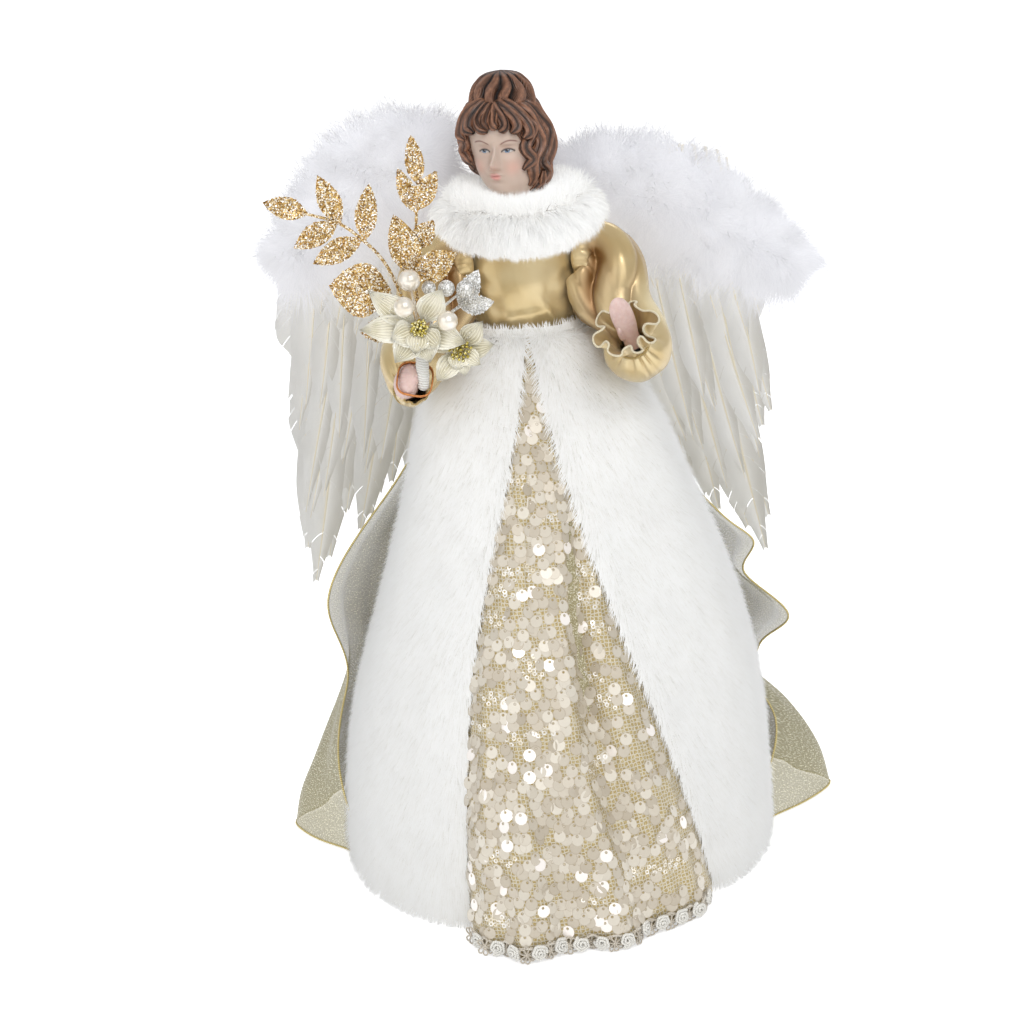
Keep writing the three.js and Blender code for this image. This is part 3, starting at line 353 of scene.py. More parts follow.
lining = Finish("lurex_lining", roughness=0.4, metallic=0.35, sheen_weight=0.2)
threads = (lining.cloth.part(0) * 4.0).sine() * (lining.cloth.part(1) * 5.0).sine()
tinsel = lining.place.noise(1.6, 2).between(0.5, 0.66)
lining.feed(base_color=tinsel.mix(linear(158, 148, 112), linear(228, 222, 198)), roughness=0.5 - 0.25 * tinsel)
lining.bump(threads, 0.12)
lining_top, lining_hem = 277.5, 4
turn, drop = np.meshgrid(np.linspace(-np.pi, np.pi, 145), np.linspace(lining_top, lining_hem, 60))
skirt = around(turn, bell(drop) - 0.4 + 0.5 * fall(drop) * np.sin(14 * turn), drop)
underskirt = piece("underskirt_lining", woven(skirt), lining, "figure", "lining", "underskirt")
cloth_area(skirt)


# Sequin skirt: a front panel of gold net on lining, tucked under the fur edges, in fanned folds with one deep
# pleat. Matte cream paillettes hang from it in staggered rows, with knots of small ring sequins among them.
def fur_edge(share, z):
    """Angle of the fur's front edges, from the doll's right one (share 0) to its left one (share 1).

    The right one opens by 26 degrees sin(pi/2 fall/0.6)^0.8, the left one by 43 degrees fall^0.75.
    """
    right = -math.radians(26) * np.sin(np.pi / 2 * np.clip(fall(z) / 0.6, 0, 1)) ** 0.8
    left = math.radians(43) * fall(z) ** 0.75
    return mix(right, left, share)


def sequin_cloth(share, z):
    """The panel: bell + 2 + a swell that grows to the hem, less a pleat that starts under the left fur edge."""
    inside = np.clip(share, 0, 1)
    swell = np.minimum(1, inside / 0.12) ** 0.7 * (1 - inside) ** 0.45
    swell = swell * (26 + 4 * np.cos(2 * np.pi * 3.5 * share + 0.6)) * fall(z) ** 1.5
    pleat_at = 0.6 + 0.36 * np.exp(-np.maximum(fall(z) - 0.27, 0) / 0.16)
    off = share - pleat_at
    pleat = np.exp(-(off / np.where(off < 0, 0.05, 0.11)) ** 2)
    pleat = pleat * 9 * eased(fall(z), 0.2, 0.4) * (1 - eased(fall(z), 0.6, 0.95))
    small = 0.8 * np.sin(2 * np.pi * (6.5 * share + 0.6 * fall(z)))
    small = small + 0.6 * np.sin(2 * np.pi * (11 * share - 1.3 * fall(z)))
    angle = fur_edge(inside, z) + (share - inside) * 0.6
    tucked = np.where(np.abs(share - inside) > 0, 0.0, 1.0)
    return around(angle, bell(z) + 2 + (swell - pleat + small * fall(z)) * tucked, z)


net = Finish("gold_net", roughness=0.5, metallic=0.3, sheen_weight=0.25)
mesh_edge = net.cloth.cells(0.52, "Distance", 0.4, "DISTANCE_TO_EDGE")
thread = 1.0 - mesh_edge.between(0.06, 0.2)
glint = net.place.noise(1.4, 2).between(0.45, 0.62)
ground = glint.mix(linear(172, 150, 98), linear(198, 181, 138))
net.feed(base_color=thread.mix(ground, linear(210, 202, 183)), roughness=0.6 - 0.25 * glint)
net.bump(thread, 0.14)
panel_top, panel_hem, tuck_in = 277, 1.5, 0.14
share, drop = np.meshgrid(np.linspace(-tuck_in, 1 + tuck_in, 150), np.linspace(panel_top, panel_hem, 150))
panel = sequin_cloth(share, drop)
sequin_panel = piece("sequin_net", woven(panel), net, "figure", "sequin", "sequin_skirt")


def discs(centres, sides, downs, rings, corners):
    """Flat discs in the plane of side and down, built of rings of (radius, rise) from the rim to the hole."""
    turn = np.linspace(0, 2 * np.pi, corners, endpoint=False)[:, None]
    circle = np.cos(turn) * sides[:, None] + np.sin(turn) * downs[:, None]
    points = np.concatenate([centres[:, None] - up * downs[:, None] + radius * circle for radius, up in rings], 1)
    number = np.arange(len(centres) * len(rings) * corners).reshape(len(centres), len(rings), corners)
    after = np.roll(number, -1, 2)
    return points, np.stack([number[:, :-1], after[:, :-1], after[:, 1:], number[:, 1:]], -1).reshape(-1, 4)


def on_panel(share, z):
    """Place, outward normal and downward direction on the sequin panel."""
    here = sequin_cloth(share, z)
    across, down = sequin_cloth(share + 0.004, z) - here, sequin_cloth(share, z - 0.8) - here
    return here, unit(np.cross(down, across)), unit(down)


rng = np.random.default_rng(11)
row_step, spot_step, hem_width, knot_room = 4.4, 4.9, 130, 4.6
spots = []
for row, z in enumerate(np.arange(264, 13, -row_step)):
    line = sequin_cloth(np.linspace(0.02, 0.97, 40), z)
    count = np.linalg.norm(line[1:] - line[:-1], axis=-1).sum() / spot_step
    across = np.arange(0.5 * (row % 2), count) / max(count, 1)
    spots += [(0.02 + 0.95 * s, z) for s in across]
spots = np.array(spots) + rng.normal(size=(len(spots), 2)) * (0.006, 0.9)
spots = spots[(spots[:, 0] > 0.0) & (spots[:, 0] < 1.0)]
knots = np.column_stack([rng.uniform(0.08, 0.92, 26), rng.uniform(12, 220, 26)])
aside = (spots[:, None, 0] - knots[:, 0]) * hem_width * np.maximum(fall(spots[:, None, 1]), 0.1)
to_knot = np.min(np.hypot(aside, spots[:, None, 1] - knots[:, 1]), 1)
thin = 0.82 - 0.46 * eased(spots[:, 0], 0.6, 0.8) * eased(fall(spots[:, 1]), 0.35, 0.6)
spots = spots[(rng.random(len(spots)) < thin) & (to_knot > knot_room)]
here, out, down = on_panel(spots[:, 0], spots[:, 1])
swing = rng.normal(size=len(spots))[:, None] * 0.3
hang = unit(down + out * (0.1 + 0.08 * rng.normal(size=(len(spots), 1))) + swing * np.cross(out, down))
side = unit(np.cross(hang, out + 0.16 * rng.normal(size=out.shape)))
centres = here + out * rng.uniform(0.7, 1.4, (len(spots), 1)) + hang * 2.0
sequin_rings, sequin_corners = ((3.1, 0), (2.75, 0), (0.85, 1.65), (0.5, 1.65)), 12
# About one paillette in sixteen is painted near white as a painted glint; the others get a film tone at random,
# with a darker rim and a dark gold eye.
tone = np.where(rng.random((len(spots), 1)) < 0.06, 1.6, rng.uniform(0.5, 1.05, (len(spots), 1)))
tone = np.repeat(np.hstack([tone - 0.4, tone, tone, 0 * tone]), sequin_corners, 1)
paillette = Finish("paillette", roughness=0.34, metallic=0.12, coat_weight=0.5, coat_roughness=0.12,
                   sheen_weight=0.1)
# Paint above 1.1 turns a paillette near white: a painted glint.
shade = paillette.painted().part(0)
cloud = paillette.place.noise(0.9, 2) * 0.12 + shade * 0.9
film = cloud.mix(linear(146, 126, 94), linear(221, 213, 198))
paillette.feed(base_color=shade.between(1.1, 1.5).mix(film, linear(255, 248, 242)), roughness=0.5 - 0.16 * shade)
sequins = piece("paillettes", discs(centres, side, hang, sequin_rings, sequin_corners), paillette, "figure",
                "sequin", paint=tone, smooth=False, airy=True)

ring_spots = []
for k_share, k_z in knots:
    breadth = max(hem_width * float(fall(k_z)), 8)
    for i in range(rng.integers(6, 15)):
        angle, away = 2.4 * i, 1.25 * math.sqrt(i)
        aside = away * 1.7 * math.cos(angle) / breadth
        ring_spots.append((k_share + aside, k_z + away * 0.8 * math.sin(angle)))
ring_spots = np.clip(np.array(ring_spots), (0.03, 5), (0.97, 262))
here, out, down = on_panel(ring_spots[:, 0], ring_spots[:, 1])
down = unit(down + 0.25 * rng.normal(size=down.shape))
centres = here + out * rng.uniform(0.9, 1.5, (len(here), 1))
ring_shape = discs(centres, unit(np.cross(down, out)), down, ((1.15, 0), (0.55, 0)), 9)
ring = Finish("ring_sequin", roughness=0.18, metallic=0.2, coat_weight=0.8)
pearl_tint = ring.place.noise(0.35, 2).between(0.4, 0.6)
ring.feed(base_color=pearl_tint.mix(linear(224, 212, 188), linear(244, 241, 236)))
rings = piece("ring_sequins", ring_shape, ring, "figure", "sequin", smooth=False, airy=True)


# Hem braid: bought rose trim in silver and cream thread, sewn along the panel's hem.
# Each rose is a coil of gimp, with fans of thread loops between the roses and two scalloped cords behind.
def carried(along, across):
    """Unit vectors across a line's directions, from a first one on, that turn as little as they can."""
    made = np.empty_like(along)
    for i, heading in enumerate(along):
        across = unit(across - heading * (across @ heading))
        made[i] = across
    return made


def laid(points, places, wraps=False):
    """A grid of points with its cloth places: points, quads and cloth places in one row each."""
    return points.reshape(-1, 3), grid(points, wraps), places.reshape(-1, 2)


def tube(line, radius, sides=6, flat=1.0):
    """A circle, or an oval flat times as thick as wide, swept along a line: points, quads and cloth places."""
    line = np.asarray(line, float)
    along = unit(np.gradient(line, axis=0))
    slanted = np.array([0.3, 0.5, 0.8])
    u = carried(along, slanted if abs(along[0] @ slanted) < 0.9 else np.array([1.0, 0, 0]))
    v = np.cross(along, u)
    turn = np.linspace(0, 2 * np.pi, sides, endpoint=False)
    if np.ndim(radius) == 2:
        radius = np.asarray(radius, float)[..., None]
    else:
        radius = np.broadcast_to(radius, len(line))[:, None, None]
    ring = np.cos(turn)[None, :, None] * u[:, None] + flat * np.sin(turn)[None, :, None] * v[:, None]
    points = line[:, None] + radius * ring
    way = np.linalg.norm(np.diff(line, axis=0, prepend=line[:1]), axis=-1).cumsum()
    place = np.stack(np.broadcast_arrays(turn[None] / (2 * np.pi), way[:, None]), -1)
    return laid(points, place, True)


def together(shapes):
    """Several (points, faces, cloth places) as one."""
    start = np.cumsum([0] + [len(s[0]) for s in shapes[:-1]])
    return (np.vstack([s[0] for s in shapes]), np.vstack([s[1] + k for s, k in zip(shapes, start)]),
            np.vstack([s[2] for s in shapes]))


gimp = Finish("silver_gimp", roughness=0.42, sheen_weight=0.4)
twist = gimp.twist(7.0)
# Roses lighter and loops darker: partly their cream and silver thread, partly painted light on the rose coils and
# painted shade in the loops.
thread_tone_and_painted_shade = gimp.painted().part(0) * 0.75 + twist.between(-0.8, 0.6) * 0.25
gimp.feed(base_color=thread_tone_and_painted_shade.mix(linear(206, 192, 170), linear(255, 253, 246)))
gimp.bump(twist, 0.16)
braid_height = 4.8
hem_share = np.linspace(0.05, 0.95, 400)
hem_line = on_panel(hem_share, np.full(len(hem_share), braid_height))
hem_way = np.linalg.norm(np.diff(hem_line[0], axis=0, prepend=hem_line[0][:1]), axis=-1).cumsum()
roses, braid = 13, []
for sign in (1, -1):
    phase = 2 * np.pi * hem_way / hem_way[-1] * roses
    cord_line = hem_line[0] + hem_line[1] * (1.1 + 0.3 * np.cos(phase))[:, None]
    cord_line[:, 2] += sign * (2.2 + 0.9 * np.cos(phase))
    braid.append(tube(cord_line, 0.6, 6))
for i in range(roses):
    k = int(np.searchsorted(hem_way, hem_way[-1] * (i + 0.5) / roses))
    centre, out, down = (v[k] for v in hem_line)
    side = np.cross(down, out)
    for fan in (-0.8, 0, 0.8):
        for way in (1, -1):
            loop = np.linspace(0, np.pi, 14)[:, None]
            ray = math.sin(fan) * side + way * math.cos(fan) * down
            across = np.cross(out, ray)
            petal = centre + 6 * side + 1.6 * out + 4.3 * np.sin(loop) * ray + 1.1 * np.sin(2 * loop) * across
            petal[:, 2] = np.maximum(petal[:, 2], 0.5)
            braid.append(tube(petal, 0.42, 5))
    inward = np.linspace(0, 1, 52)
    turn = np.linspace(0, 2 * np.pi * 2.6, 52) + i
    wide = 3.8 * (1 - np.linspace(0, 0.93, 52)) * (1 + 0.08 * np.cos(5 * turn))
    coil = centre + out * (2.4 + 1.3 * inward)[:, None]
    coil = coil + wide[:, None] * (np.cos(turn)[:, None] * side + np.sin(turn)[:, None] * down)
    braid.append(tube(coil, 0.82 * (1 - 0.25 * inward), 6))
# Paint tone of each part: the loops lie back in painted shade, the rose coils stand out in painted light, the
# cords lie between.
cord_tone, loop_tone, rose_tone = 0.3, 0.1, 1.0
levels = [cord_tone] * 2 + ([loop_tone] * 6 + [rose_tone]) * roses
tone = np.concatenate([np.full(len(part[0]), level) for part, level in zip(braid, levels)])
hem_braid = piece("rose_braid", together(braid), gimp, "figure", "braid", "hem_braid", paint=tone)
cloth_area(panel) * 1.04


# Fur robe: two panels of white plush on a knitted backing, sewn in at the waist, which part over the sequins.
# The pile is short, fine and brushed downward, and spills over the front edges and the hem.
def hairs(roots, aims, out, size, width, sag, rng):
    """Flat tapered hairs, root + size (t aim + t^2 sag) at t = 0, 1/2 and 1.

    Returns points, triangles, the way from root to tip and the shading normals.
    """
    aims, size = unit(aims), np.broadcast_to(size, len(roots))[:, None]
    side = unit(np.cross(aims, out + 0.16 * rng.normal(size=aims.shape)))
    side = side * np.broadcast_to(width, len(roots))[:, None] / 2
    middle, tip = roots + size * (aims / 2 + sag / 4), roots + size * (aims + sag)
    points = np.stack([roots - side, roots + side, middle - 0.8 * side, middle + 0.8 * side, tip], 1)
    first = np.arange(len(roots))[:, None] * 5
    faces = np.stack([first + (0, 1, 3), first + (0, 3, 2), first + (2, 3, 4)], 1).reshape(-1, 3)
    way = np.broadcast_to(np.array([0, 0, 0.55, 0.55, 1.0]), (len(roots), 5))
    return points.reshape(-1, 3), faces, way, np.repeat(unit(out + 0.3 * aims), 5, 0)


def scattered(points, count, rng):
    """Random places, even over a grid: place, normal, directions down and across, shares of rows and columns."""
    corner = points[:-1, :-1]
    across, down = points[:-1, 1:] - corner, points[1:, :-1] - corner
    normal = np.cross(down, across)
    weight = np.linalg.norm(normal, axis=-1).ravel()
    cell = rng.choice(weight.size, count, p=weight / weight.sum())
    s, t = rng.random((2, count, 1))
    pick = lambda field: field.reshape(-1, 3)[cell]
    row, column = np.divmod(cell, corner.shape[1])
    place = pick(corner) + s * pick(across) + t * pick(down)
    shares = (row + t[:, 0]) / corner.shape[0], (column + s[:, 0]) / corner.shape[1]
    return place, unit(pick(normal)), unit(pick(down)), unit(pick(across)), *shares


def tufts(places, size, seed):
    """A smooth field of vectors that leans neighbouring hairs together."""
    return np.stack([waves(places, size, seed + k) for k in range(3)], -1)


def fur_finish(name, root, tip):
    """White plush: darker and warmer towards each hair's root as painted shade deep in the pile, with soft clouds
    of random tone.
    """
    made = Finish(name, roughness=0.8, sheen_weight=0.35, sheen_roughness=0.4)
    way = made.painted().part(0)
    cloud = made.place.noise(0.05, 3) * 0.3 + way * 0.85
    made.feed(base_color=cloud.mix(root, tip), roughness=0.9 - 0.2 * way)
    return made


plush = fur_finish("white_plush", linear(238, 236, 231), linear(253, 253, 252))
knit = Finish("knit_backing", roughness=0.95)
loops = (knit.cloth.part(0) * 6.0).sine() * (knit.cloth.part(1) * 4.5).sine()
knit.feed(base_color=loops.between(-0.7, 0.7).mix(linear(232, 230, 224), linear(246, 245, 241)))
knit.bump(loops, 0.25)


def through(value, places, values):
    """A smooth line through given values: cubic pieces that share their slopes."""
    places, values = np.asarray(places, float), np.asarray(values, float)
    slope = np.gradient(values, places)
    i = np.clip(np.searchsorted(places, value, side="right") - 1, 0, len(places) - 2)
    step = places[i + 1] - places[i]
    t = np.clip((value - places[i]) / step, 0, 1)
    low, high = (1 + 2 * t) * (1 - t) ** 2, t * t * (3 - 2 * t)
    bend = t * (1 - t) ** 2 * slope[i] - t * t * (1 - t) * slope[i + 1]
    return low * values[i] + high * values[i + 1] + step * bend


def fur_face(share, z, side, depth):
    """The panel from its front edge (share 0) to the side seam at 100 degrees, at a part of its pile's depth."""
    edge = fur_edge(np.where(side > 0, 1.0, 0.0), z) + side * math.radians(0.8)
    pile = 10 * (1 - 0.62 * np.abs(2 * share - 1) ** 5)
    pile = pile + 3 * fall(z) * np.sin(np.pi * share) * (0.5 + 0.5 * np.cos(4 * np.pi * share))
    hips = (0, 2, 8, 13, 14.5, 15.5, 17, 15, 8, 1.5) if side > 0 else (0, 0, 0, 0, 2, 6, 11, 13, 8, 1.5)
    swell = through(z, (0, 40, 90, 140, 170, 200, 225, 250, 268, 282), hips)
    swell = swell * eased(share, 0.05, 0.6) * (1 - 0.9 * eased(share, 0.88, 1.0))
    dent = 1.2 * fall(z) * np.sin(2 * np.pi * (1.7 * share + 0.8 * fall(z)))
    angle = mix(edge, side * math.radians(100), share)
    return around(angle, bell(z) + 2.6 + swell + depth * pile + depth * dent, z)


fur_top, fur_hem, off_floor = 281.5, 2.6, 0.3
plush_hairs, plush_width = 64000, 0.34
for side, hand in ((1, "left"), (-1, "right")):
    rng = np.random.default_rng(21 + side)
    share, drop = np.meshgrid(np.linspace(0, 1, 60)[::side], np.linspace(fur_top, fur_hem, 110))
    backing_points = fur_face(share, drop, side, 0.38)
    backing = piece(f"fur_backing_{hand}", woven(backing_points), knit, "figure", "fur", f"fur_panel_{hand}")
    root, out, down, across, row, column = scattered(backing_points, plush_hairs, rng)
    column = column if side > 0 else 1 - column
    rim = np.exp(-column / 0.05)[:, None]
    back_rim = np.exp(-(1 - column) / 0.05)[:, None]
    waist_rim = np.exp(-row / 0.022)[:, None]
    lie = (0.62 - 0.5 * waist_rim) * out + down * (0.85 - 1.8 * waist_rim)
    lie = lie - side * across * ((0.9 if side > 0 else 0.45) * rim - 0.7 * back_rim)
    lie = lie + 0.13 * tufts(root, 16, 31) + 0.1 * tufts(root, 5, 35) + 0.12 * rng.normal(size=out.shape)
    size = rng.uniform(4.5, 7.5, len(root)) * (1 - 0.35 * waist_rim[:, 0])
    points, faces, way, facing = hairs(root, lie, out, size, plush_width, 0.16 * down, rng)
    points[:, 2] = np.maximum(points[:, 2], off_floor)
    way = way * 0.8 + rng.uniform(-0.1, 0.2, (len(root), 1))
    pile = piece(f"fur_pile_{hand}", (points, faces), plush, "figure", "fur", paint=way, facing=facing, airy=True)
    cloth_area(backing_points)


# Organza train: one sheet of sheer pale gold organza gathered behind the waist, with a gold wired edge all
# round. Its sides stand out past the fur in ruffled lobes, and its folds fan out to the floor at the back.
def organza_sheet(share, z):
    """The bell + 1.3 + 24 fall^1.6 + nine ruffles; its sides swell in lobes and turn forward at the floor."""
    edge = np.abs(2 * share - 1)
    ruffle = 8 * fall(z) * (1 - np.cos(2 * np.pi * 9 * share)) / 2
    ruffle = ruffle + 1.6 * fall(z) * np.sin(2 * np.pi * 23 * share + 5 * fall(z))
    left_heights = (0, 25, 45, 60, 81, 105, 129, 149, 162, 200, 276)
    left = through(z, left_heights, (23, 23, 15, 3, 11, 29, 18, 30, 23, 12, 0))
    right = through(z, (0, 20, 40, 80, 136, 200, 230, 276), (12, 10, 3, 1, 25, 13, 8, 0))
    left_turn = through(z, (0, 25, 45, 60, 81, 105, 129, 149, 276), (22, 18, 8, -2, -3, 6, 1, 5, 0))
    right_turn = through(z, (0, 40, 80, 136, 200, 276), (24, 20, 2, 6, 0, 0))
    tuck = eased(edge, 0.88, 1.0) * eased(-z, -75, -15)
    lobes = np.where(share < 0.5, left, right) * edge ** 4 * (1 - tuck)
    sway = np.radians(np.where(share < 0.5, -left_turn, right_turn)) * edge ** 4
    angle = mix(math.radians(104), math.radians(256), share) + sway
    spread = bell(z) + 1.3 + 24 * fall(z) ** 1.6 * (1 - 0.75 * tuck)
    return around(angle, spread + ruffle * (1 - 0.7 * tuck) + lobes, z)


def twisted(name, pitch, lit, dark, light, relief, **constants):
    """A finish of plied thread: light where its twist's waves pass from the first height lit to the second."""
    made = Finish(name, **constants)
    twist = made.twist(pitch)
    made.feed(base_color=twist.between(*lit).mix(dark, light))
    return made.bump(twist, relief)


organza = Finish("gold_organza", roughness=0.4, metallic=0.2, sheen_weight=0.15, sheen_roughness=0.3)
weave = (organza.cloth.part(0) * 5.2).sine() * (organza.cloth.part(1) * 5.2).sine()
sparkle = organza.cloth.noise(1.3, 2, 0.5).between(0.5, 0.68)
cloud = organza.place.noise(0.03, 2)
# Towards its side edges the sheet is clearer and painted lighter; its darker middle is painted shade, as where
# folds lie over one another.
clear_lit_edge = organza.painted().part(0)
ground = clear_lit_edge.mix(linear(142, 132, 94), linear(166, 158, 122))
organza.feed(base_color=sparkle.mix(ground, linear(238, 233, 208)),
             alpha=0.78 - 0.2 * clear_lit_edge + 0.1 * weave + 0.2 * sparkle + 0.15 * cloud)
organza.bump(weave, 0.06)
train_top, train_hem = 276, 1
share, drop = np.meshgrid(np.linspace(0, 1, 260), np.linspace(train_top, train_hem, 110))
train_points = organza_sheet(share, drop)
# Share towards each side edge, where the sheet is painted lighter and made clearer.
clear_lit_edge_share = eased(np.abs(2 * share - 1), 0.8, 1.0)
train = piece("organza_sheet", woven(train_points), organza, "figure", "organza", "organza_train", paint=clear_lit_edge_share)
gold_cord = twisted("gold_cord", 6.0, (-0.8, 0.6), linear(176, 152, 86), linear(233, 219, 158), 0.14,
                    roughness=0.38, metallic=0.55)
edge_points = np.vstack([train_points[:, 0], train_points[-1, 1:-1], train_points[::-1, -1]])
edge_points[:, 2] = np.maximum(edge_points[:, 2], 0.9)
train_edge = piece("organza_wired_edge", tube(edge_points, 0.55, 6), gold_cord, "figure", "organza")
cloth_area(train_points) * 1.03


# Bodice: gold satin drawn smooth over the torso, with a seam at each side and a few pulls from the waist.
# It is sewn closed behind and hidden by the collar above.
satin = Finish("gold_satin", roughness=0.25, metallic=0.42, anisotropic=0.4, sheen_weight=0.12,
               sheen_roughness=0.3)
weave = (satin.cloth.part(0) * 36.0).sine() * 0.6 + (satin.cloth.part(1) * 44.0).sine() * 0.4
tint = satin.place.noise(0.04, 3).between(0.3, 0.7)
# The paint is painted light and shade: low in fold valleys, which turn dark brown-gold as painted shade, and high
# on crests, which turn pale cream as painted highlights.
depth = satin.painted().part(0)
drawn = depth.mix(linear(124, 84, 36), tint.mix(linear(214, 191, 139), linear(230, 211, 166)))
lit = (depth.between(0.82, 1.0) * 0.6).mix(drawn, linear(250, 236, 198))
satin.feed(base_color=lit, roughness=0.27 + 0.012 * weave)
satin.bump(weave, 0.0015)


bodice_foot, bodice_top = 278.8, 319.4


def bodice_face(angle, share):
    """Ovals through the chest's sections, with pulls that fan from the waist and a groove at the side seams."""
    wide = through(share, (0, 0.55, 0.8, 1), (25.6, 27.6, 26.6, 25.6))
    deep = through(share, (0, 0.55, 0.8, 1), (21.6, 22.6, 21.1, 19.6))
    pulls = 0.3 * (1 - share) ** 1.5 * np.sin(17 * angle + 4 * share)
    pulls = pulls + 0.35 * np.exp(-((share - 0.16 - 0.05 * np.sin(3 * angle)) / 0.1) ** 2)
    pulls = pulls - 0.2 * np.exp(-((share - 0.34 - 0.06 * np.sin(2 * angle + 1)) / 0.12) ** 2)
    drag = 0.5 * np.sin(np.pi * share) * np.exp(-((np.abs(angle) - 0.95) / 0.3) ** 2)
    pulls = pulls + drag * np.sin(26 * share - 6 * np.abs(angle))
    pulls = pulls + 0.8 * np.exp(-((angle - 0.6 + 0.8 * share) / 0.07) ** 2) * (1 - eased(share, 0.25, 0.5))
    pulls = pulls + 0.55 * np.exp(-((share - 0.2 - 0.08 * angle) / 0.06) ** 2 - (angle / 0.6) ** 4)
    seam = -0.5 * np.exp(-((np.abs(angle) - 1.35) / 0.025) ** 2)
    z = mix(bodice_foot, bodice_top, share)
    return np.stack([(wide + pulls + seam) * np.sin(angle), -(deep + pulls + seam) * np.cos(angle), z], -1)


angle, share = np.meshgrid(np.linspace(-np.pi, np.pi, 240), np.linspace(1, 0, 70))
bodice_points = bodice_face(angle, share)
# Soft patches of painted light and shade across the bodice.
bodice_light_and_shade = 0.82 + 0.06 * waves(bodice_points, 14, 58)
bodice = piece("bodice_satin", woven(bodice_points), satin, "figure", "satin", "satin_bodice", paint=bodice_light_and_shade)
cloth_area(bodice_points) * 0.99


# Fur collar: a stuffed tube of the same plush with longer pile, sewn on round the neck.
# The pile parts along the crest: its inner hairs stand against the neck and its outer ones fall outward.
collar_radius, collar_half_width, collar_half_height, chest_top = 28.5, 14.5, 12, 319.8


def collar_ring(angle, turn, plump):
    """A ring with an oval section, times plump, that rests on the bodice's upper edge and dips at the front."""
    edge = 1 / np.hypot(np.sin(angle) / 25.6, np.cos(angle) / 19.6)
    overhang = np.clip((collar_radius - edge) / collar_half_width, 0, 1)
    z = chest_top + collar_half_height * np.sqrt(1 - overhang ** 2) + 4 * (0.5 - 0.5 * np.cos(angle))
    z = z + collar_half_height * plump * np.sin(turn)
    return around(angle, collar_radius + collar_half_width * plump * np.cos(turn), z)


rng = np.random.default_rng(41)
angle, turn = np.meshgrid(np.linspace(-np.pi, np.pi, 121), np.linspace(np.pi, -np.pi, 41))
collar_points = collar_ring(angle, turn, 0.66)
collar = piece("collar_backing", woven(collar_points), knit, "figure", "fur", "fur_collar", airy=True)
collar_hairs, collar_hair_width = 60000, 0.3
root, out, down = scattered(collar_points, collar_hairs, rng)[:3]
upper = np.clip(out[:, 2:], 0, 1)
radial = unit(root * (1, 1, 0))
inward = 0.3 * rng.normal(size=(len(root), 1)) - np.sum(out * radial, 1)[:, None]
inner = eased(inward, -0.25, 0.15) * eased(out[:, 2:], -0.4, 0)
outer = 0.75 * down + 0.45 * out * (1 - upper) - (0, 0, 0.15) * upper
lie = mix(outer, (0, 0, 1.0) - 0.35 * radial, inner) + 0.22 * tufts(root, 12, 51) + 0.14 * tufts(root, 4, 55)
lie = lie + 0.13 * rng.normal(size=out.shape)
size = rng.uniform(6, 9, len(root)) + 2 * inner[:, 0]
toward = unit(0.5 * radial + (0, -1.0, 0.3) + 0.45 * tufts(root, 6, 58) + 0.4 * rng.normal(size=out.shape))
points, faces, way, facing = hairs(root, lie, toward, size, collar_hair_width, 0.15 * down, rng)
way = 0.1 + way * 0.85 + rng.uniform(-0.12, 0.18, (len(root), 1))
piece("collar_pile", (points, faces), plush, "figure", "fur", paint=way, facing=facing, airy=True)


# Arms: each a gathered gold satin sleeve set into the bodice, drawn in at the wrist by an elastic thread,
# with a cast bisque hand on a bent wire inside. The whole arm turns at the shoulder.
def curve(points, shares):
    """Centripetal Catmull-Rom line through points, read at shares of its length."""
    p = np.asarray(points, float)
    p = np.vstack([2 * p[0] - p[1], p, 2 * p[-1] - p[-2]])
    knot = np.concatenate([[0], np.cumsum(np.linalg.norm(np.diff(p, axis=0), axis=1) ** 0.5)])
    line = []
    for i in range(1, len(p) - 2):
        t = np.linspace(knot[i], knot[i + 1], 40)[:, None]
        blend = lambda a, b, i0, i1: ((knot[i1] - t) * a + (t - knot[i0]) * b) / (knot[i1] - knot[i0])
        first = [blend(p[j], p[j + 1], j, j + 1) for j in (i - 1, i, i + 1)]
        second = [blend(first[j], first[j + 1], i - 1 + j, i + 1 + j) for j in (0, 1)]
        line.append(blend(second[0], second[1], i, i + 1))
    line = np.vstack(line)
    way = np.concatenate([[0], np.cumsum(np.linalg.norm(np.diff(line, axis=0), axis=1))])
    return np.stack([np.interp(np.asarray(shares) * way[-1], way, line[:, k]) for k in range(3)], -1)


bisque = Finish("bisque_skin", roughness=0.5, coat_weight=0.08, subsurface_weight=0.12)
bisque.shader.inputs["Subsurface Radius"].default_value = (0.004, 0.002, 0.001)
bloom = bisque.place.noise(0.5, 3).between(0.3, 0.7)
bisque.feed(base_color=bloom.mix(linear(216, 184, 176), linear(225, 197, 189)), roughness=0.55 - 0.12 * bloom)
bisque.bump(bisque.place.noise(3.0, 2), 0.03)
elastic = twisted("elastic_thread", 8.0, (-0.7, 0.7), linear(160, 132, 74), linear(214, 188, 124), 0.12,
                  roughness=0.6, sheen_weight=0.3)
overlock_thread = twisted("overlock_thread", 9.0, (-0.7, 0.7), linear(216, 198, 152), linear(248, 242, 222), 0.1,
                          roughness=0.6, sheen_weight=0.3)
steel = Finish("iron_wire", roughness=0.36, metallic=0.9)
rust = steel.place.noise(0.8, 4).between(0.3, 0.7)
steel.feed(base_color=rust.mix(linear(120, 116, 108), linear(172, 168, 158)))
steel.bump(steel.place.noise(6.0, 2), 0.02)
coat(steel, "arm_wire_left", "arm_wire_right")
# The sleeve's radius at shares of its length, then its valleys: angles at three shares, depth and width.
SLEEVE = ((0, 9.5), (0.06, 12.2), (0.15, 14.2), (0.28, 15.2), (0.42, 15.6), (0.55, 16), (0.66, 15), (0.75, 10.8),
          (0.81, 6.9), (0.85, 6.9), (0.91, 9.6), (1, 12.8))
SLEEVE_VALLEYS = (((2.0, 3.1, 4.1), 8.5, 0.28), ((3.3, 4.0, 4.6), 6.0, 0.22), ((1.2, 1.7, 2.5), 4.0, 0.24),
                  ((4.4, 4.9, 5.2), 3.4, 0.2))
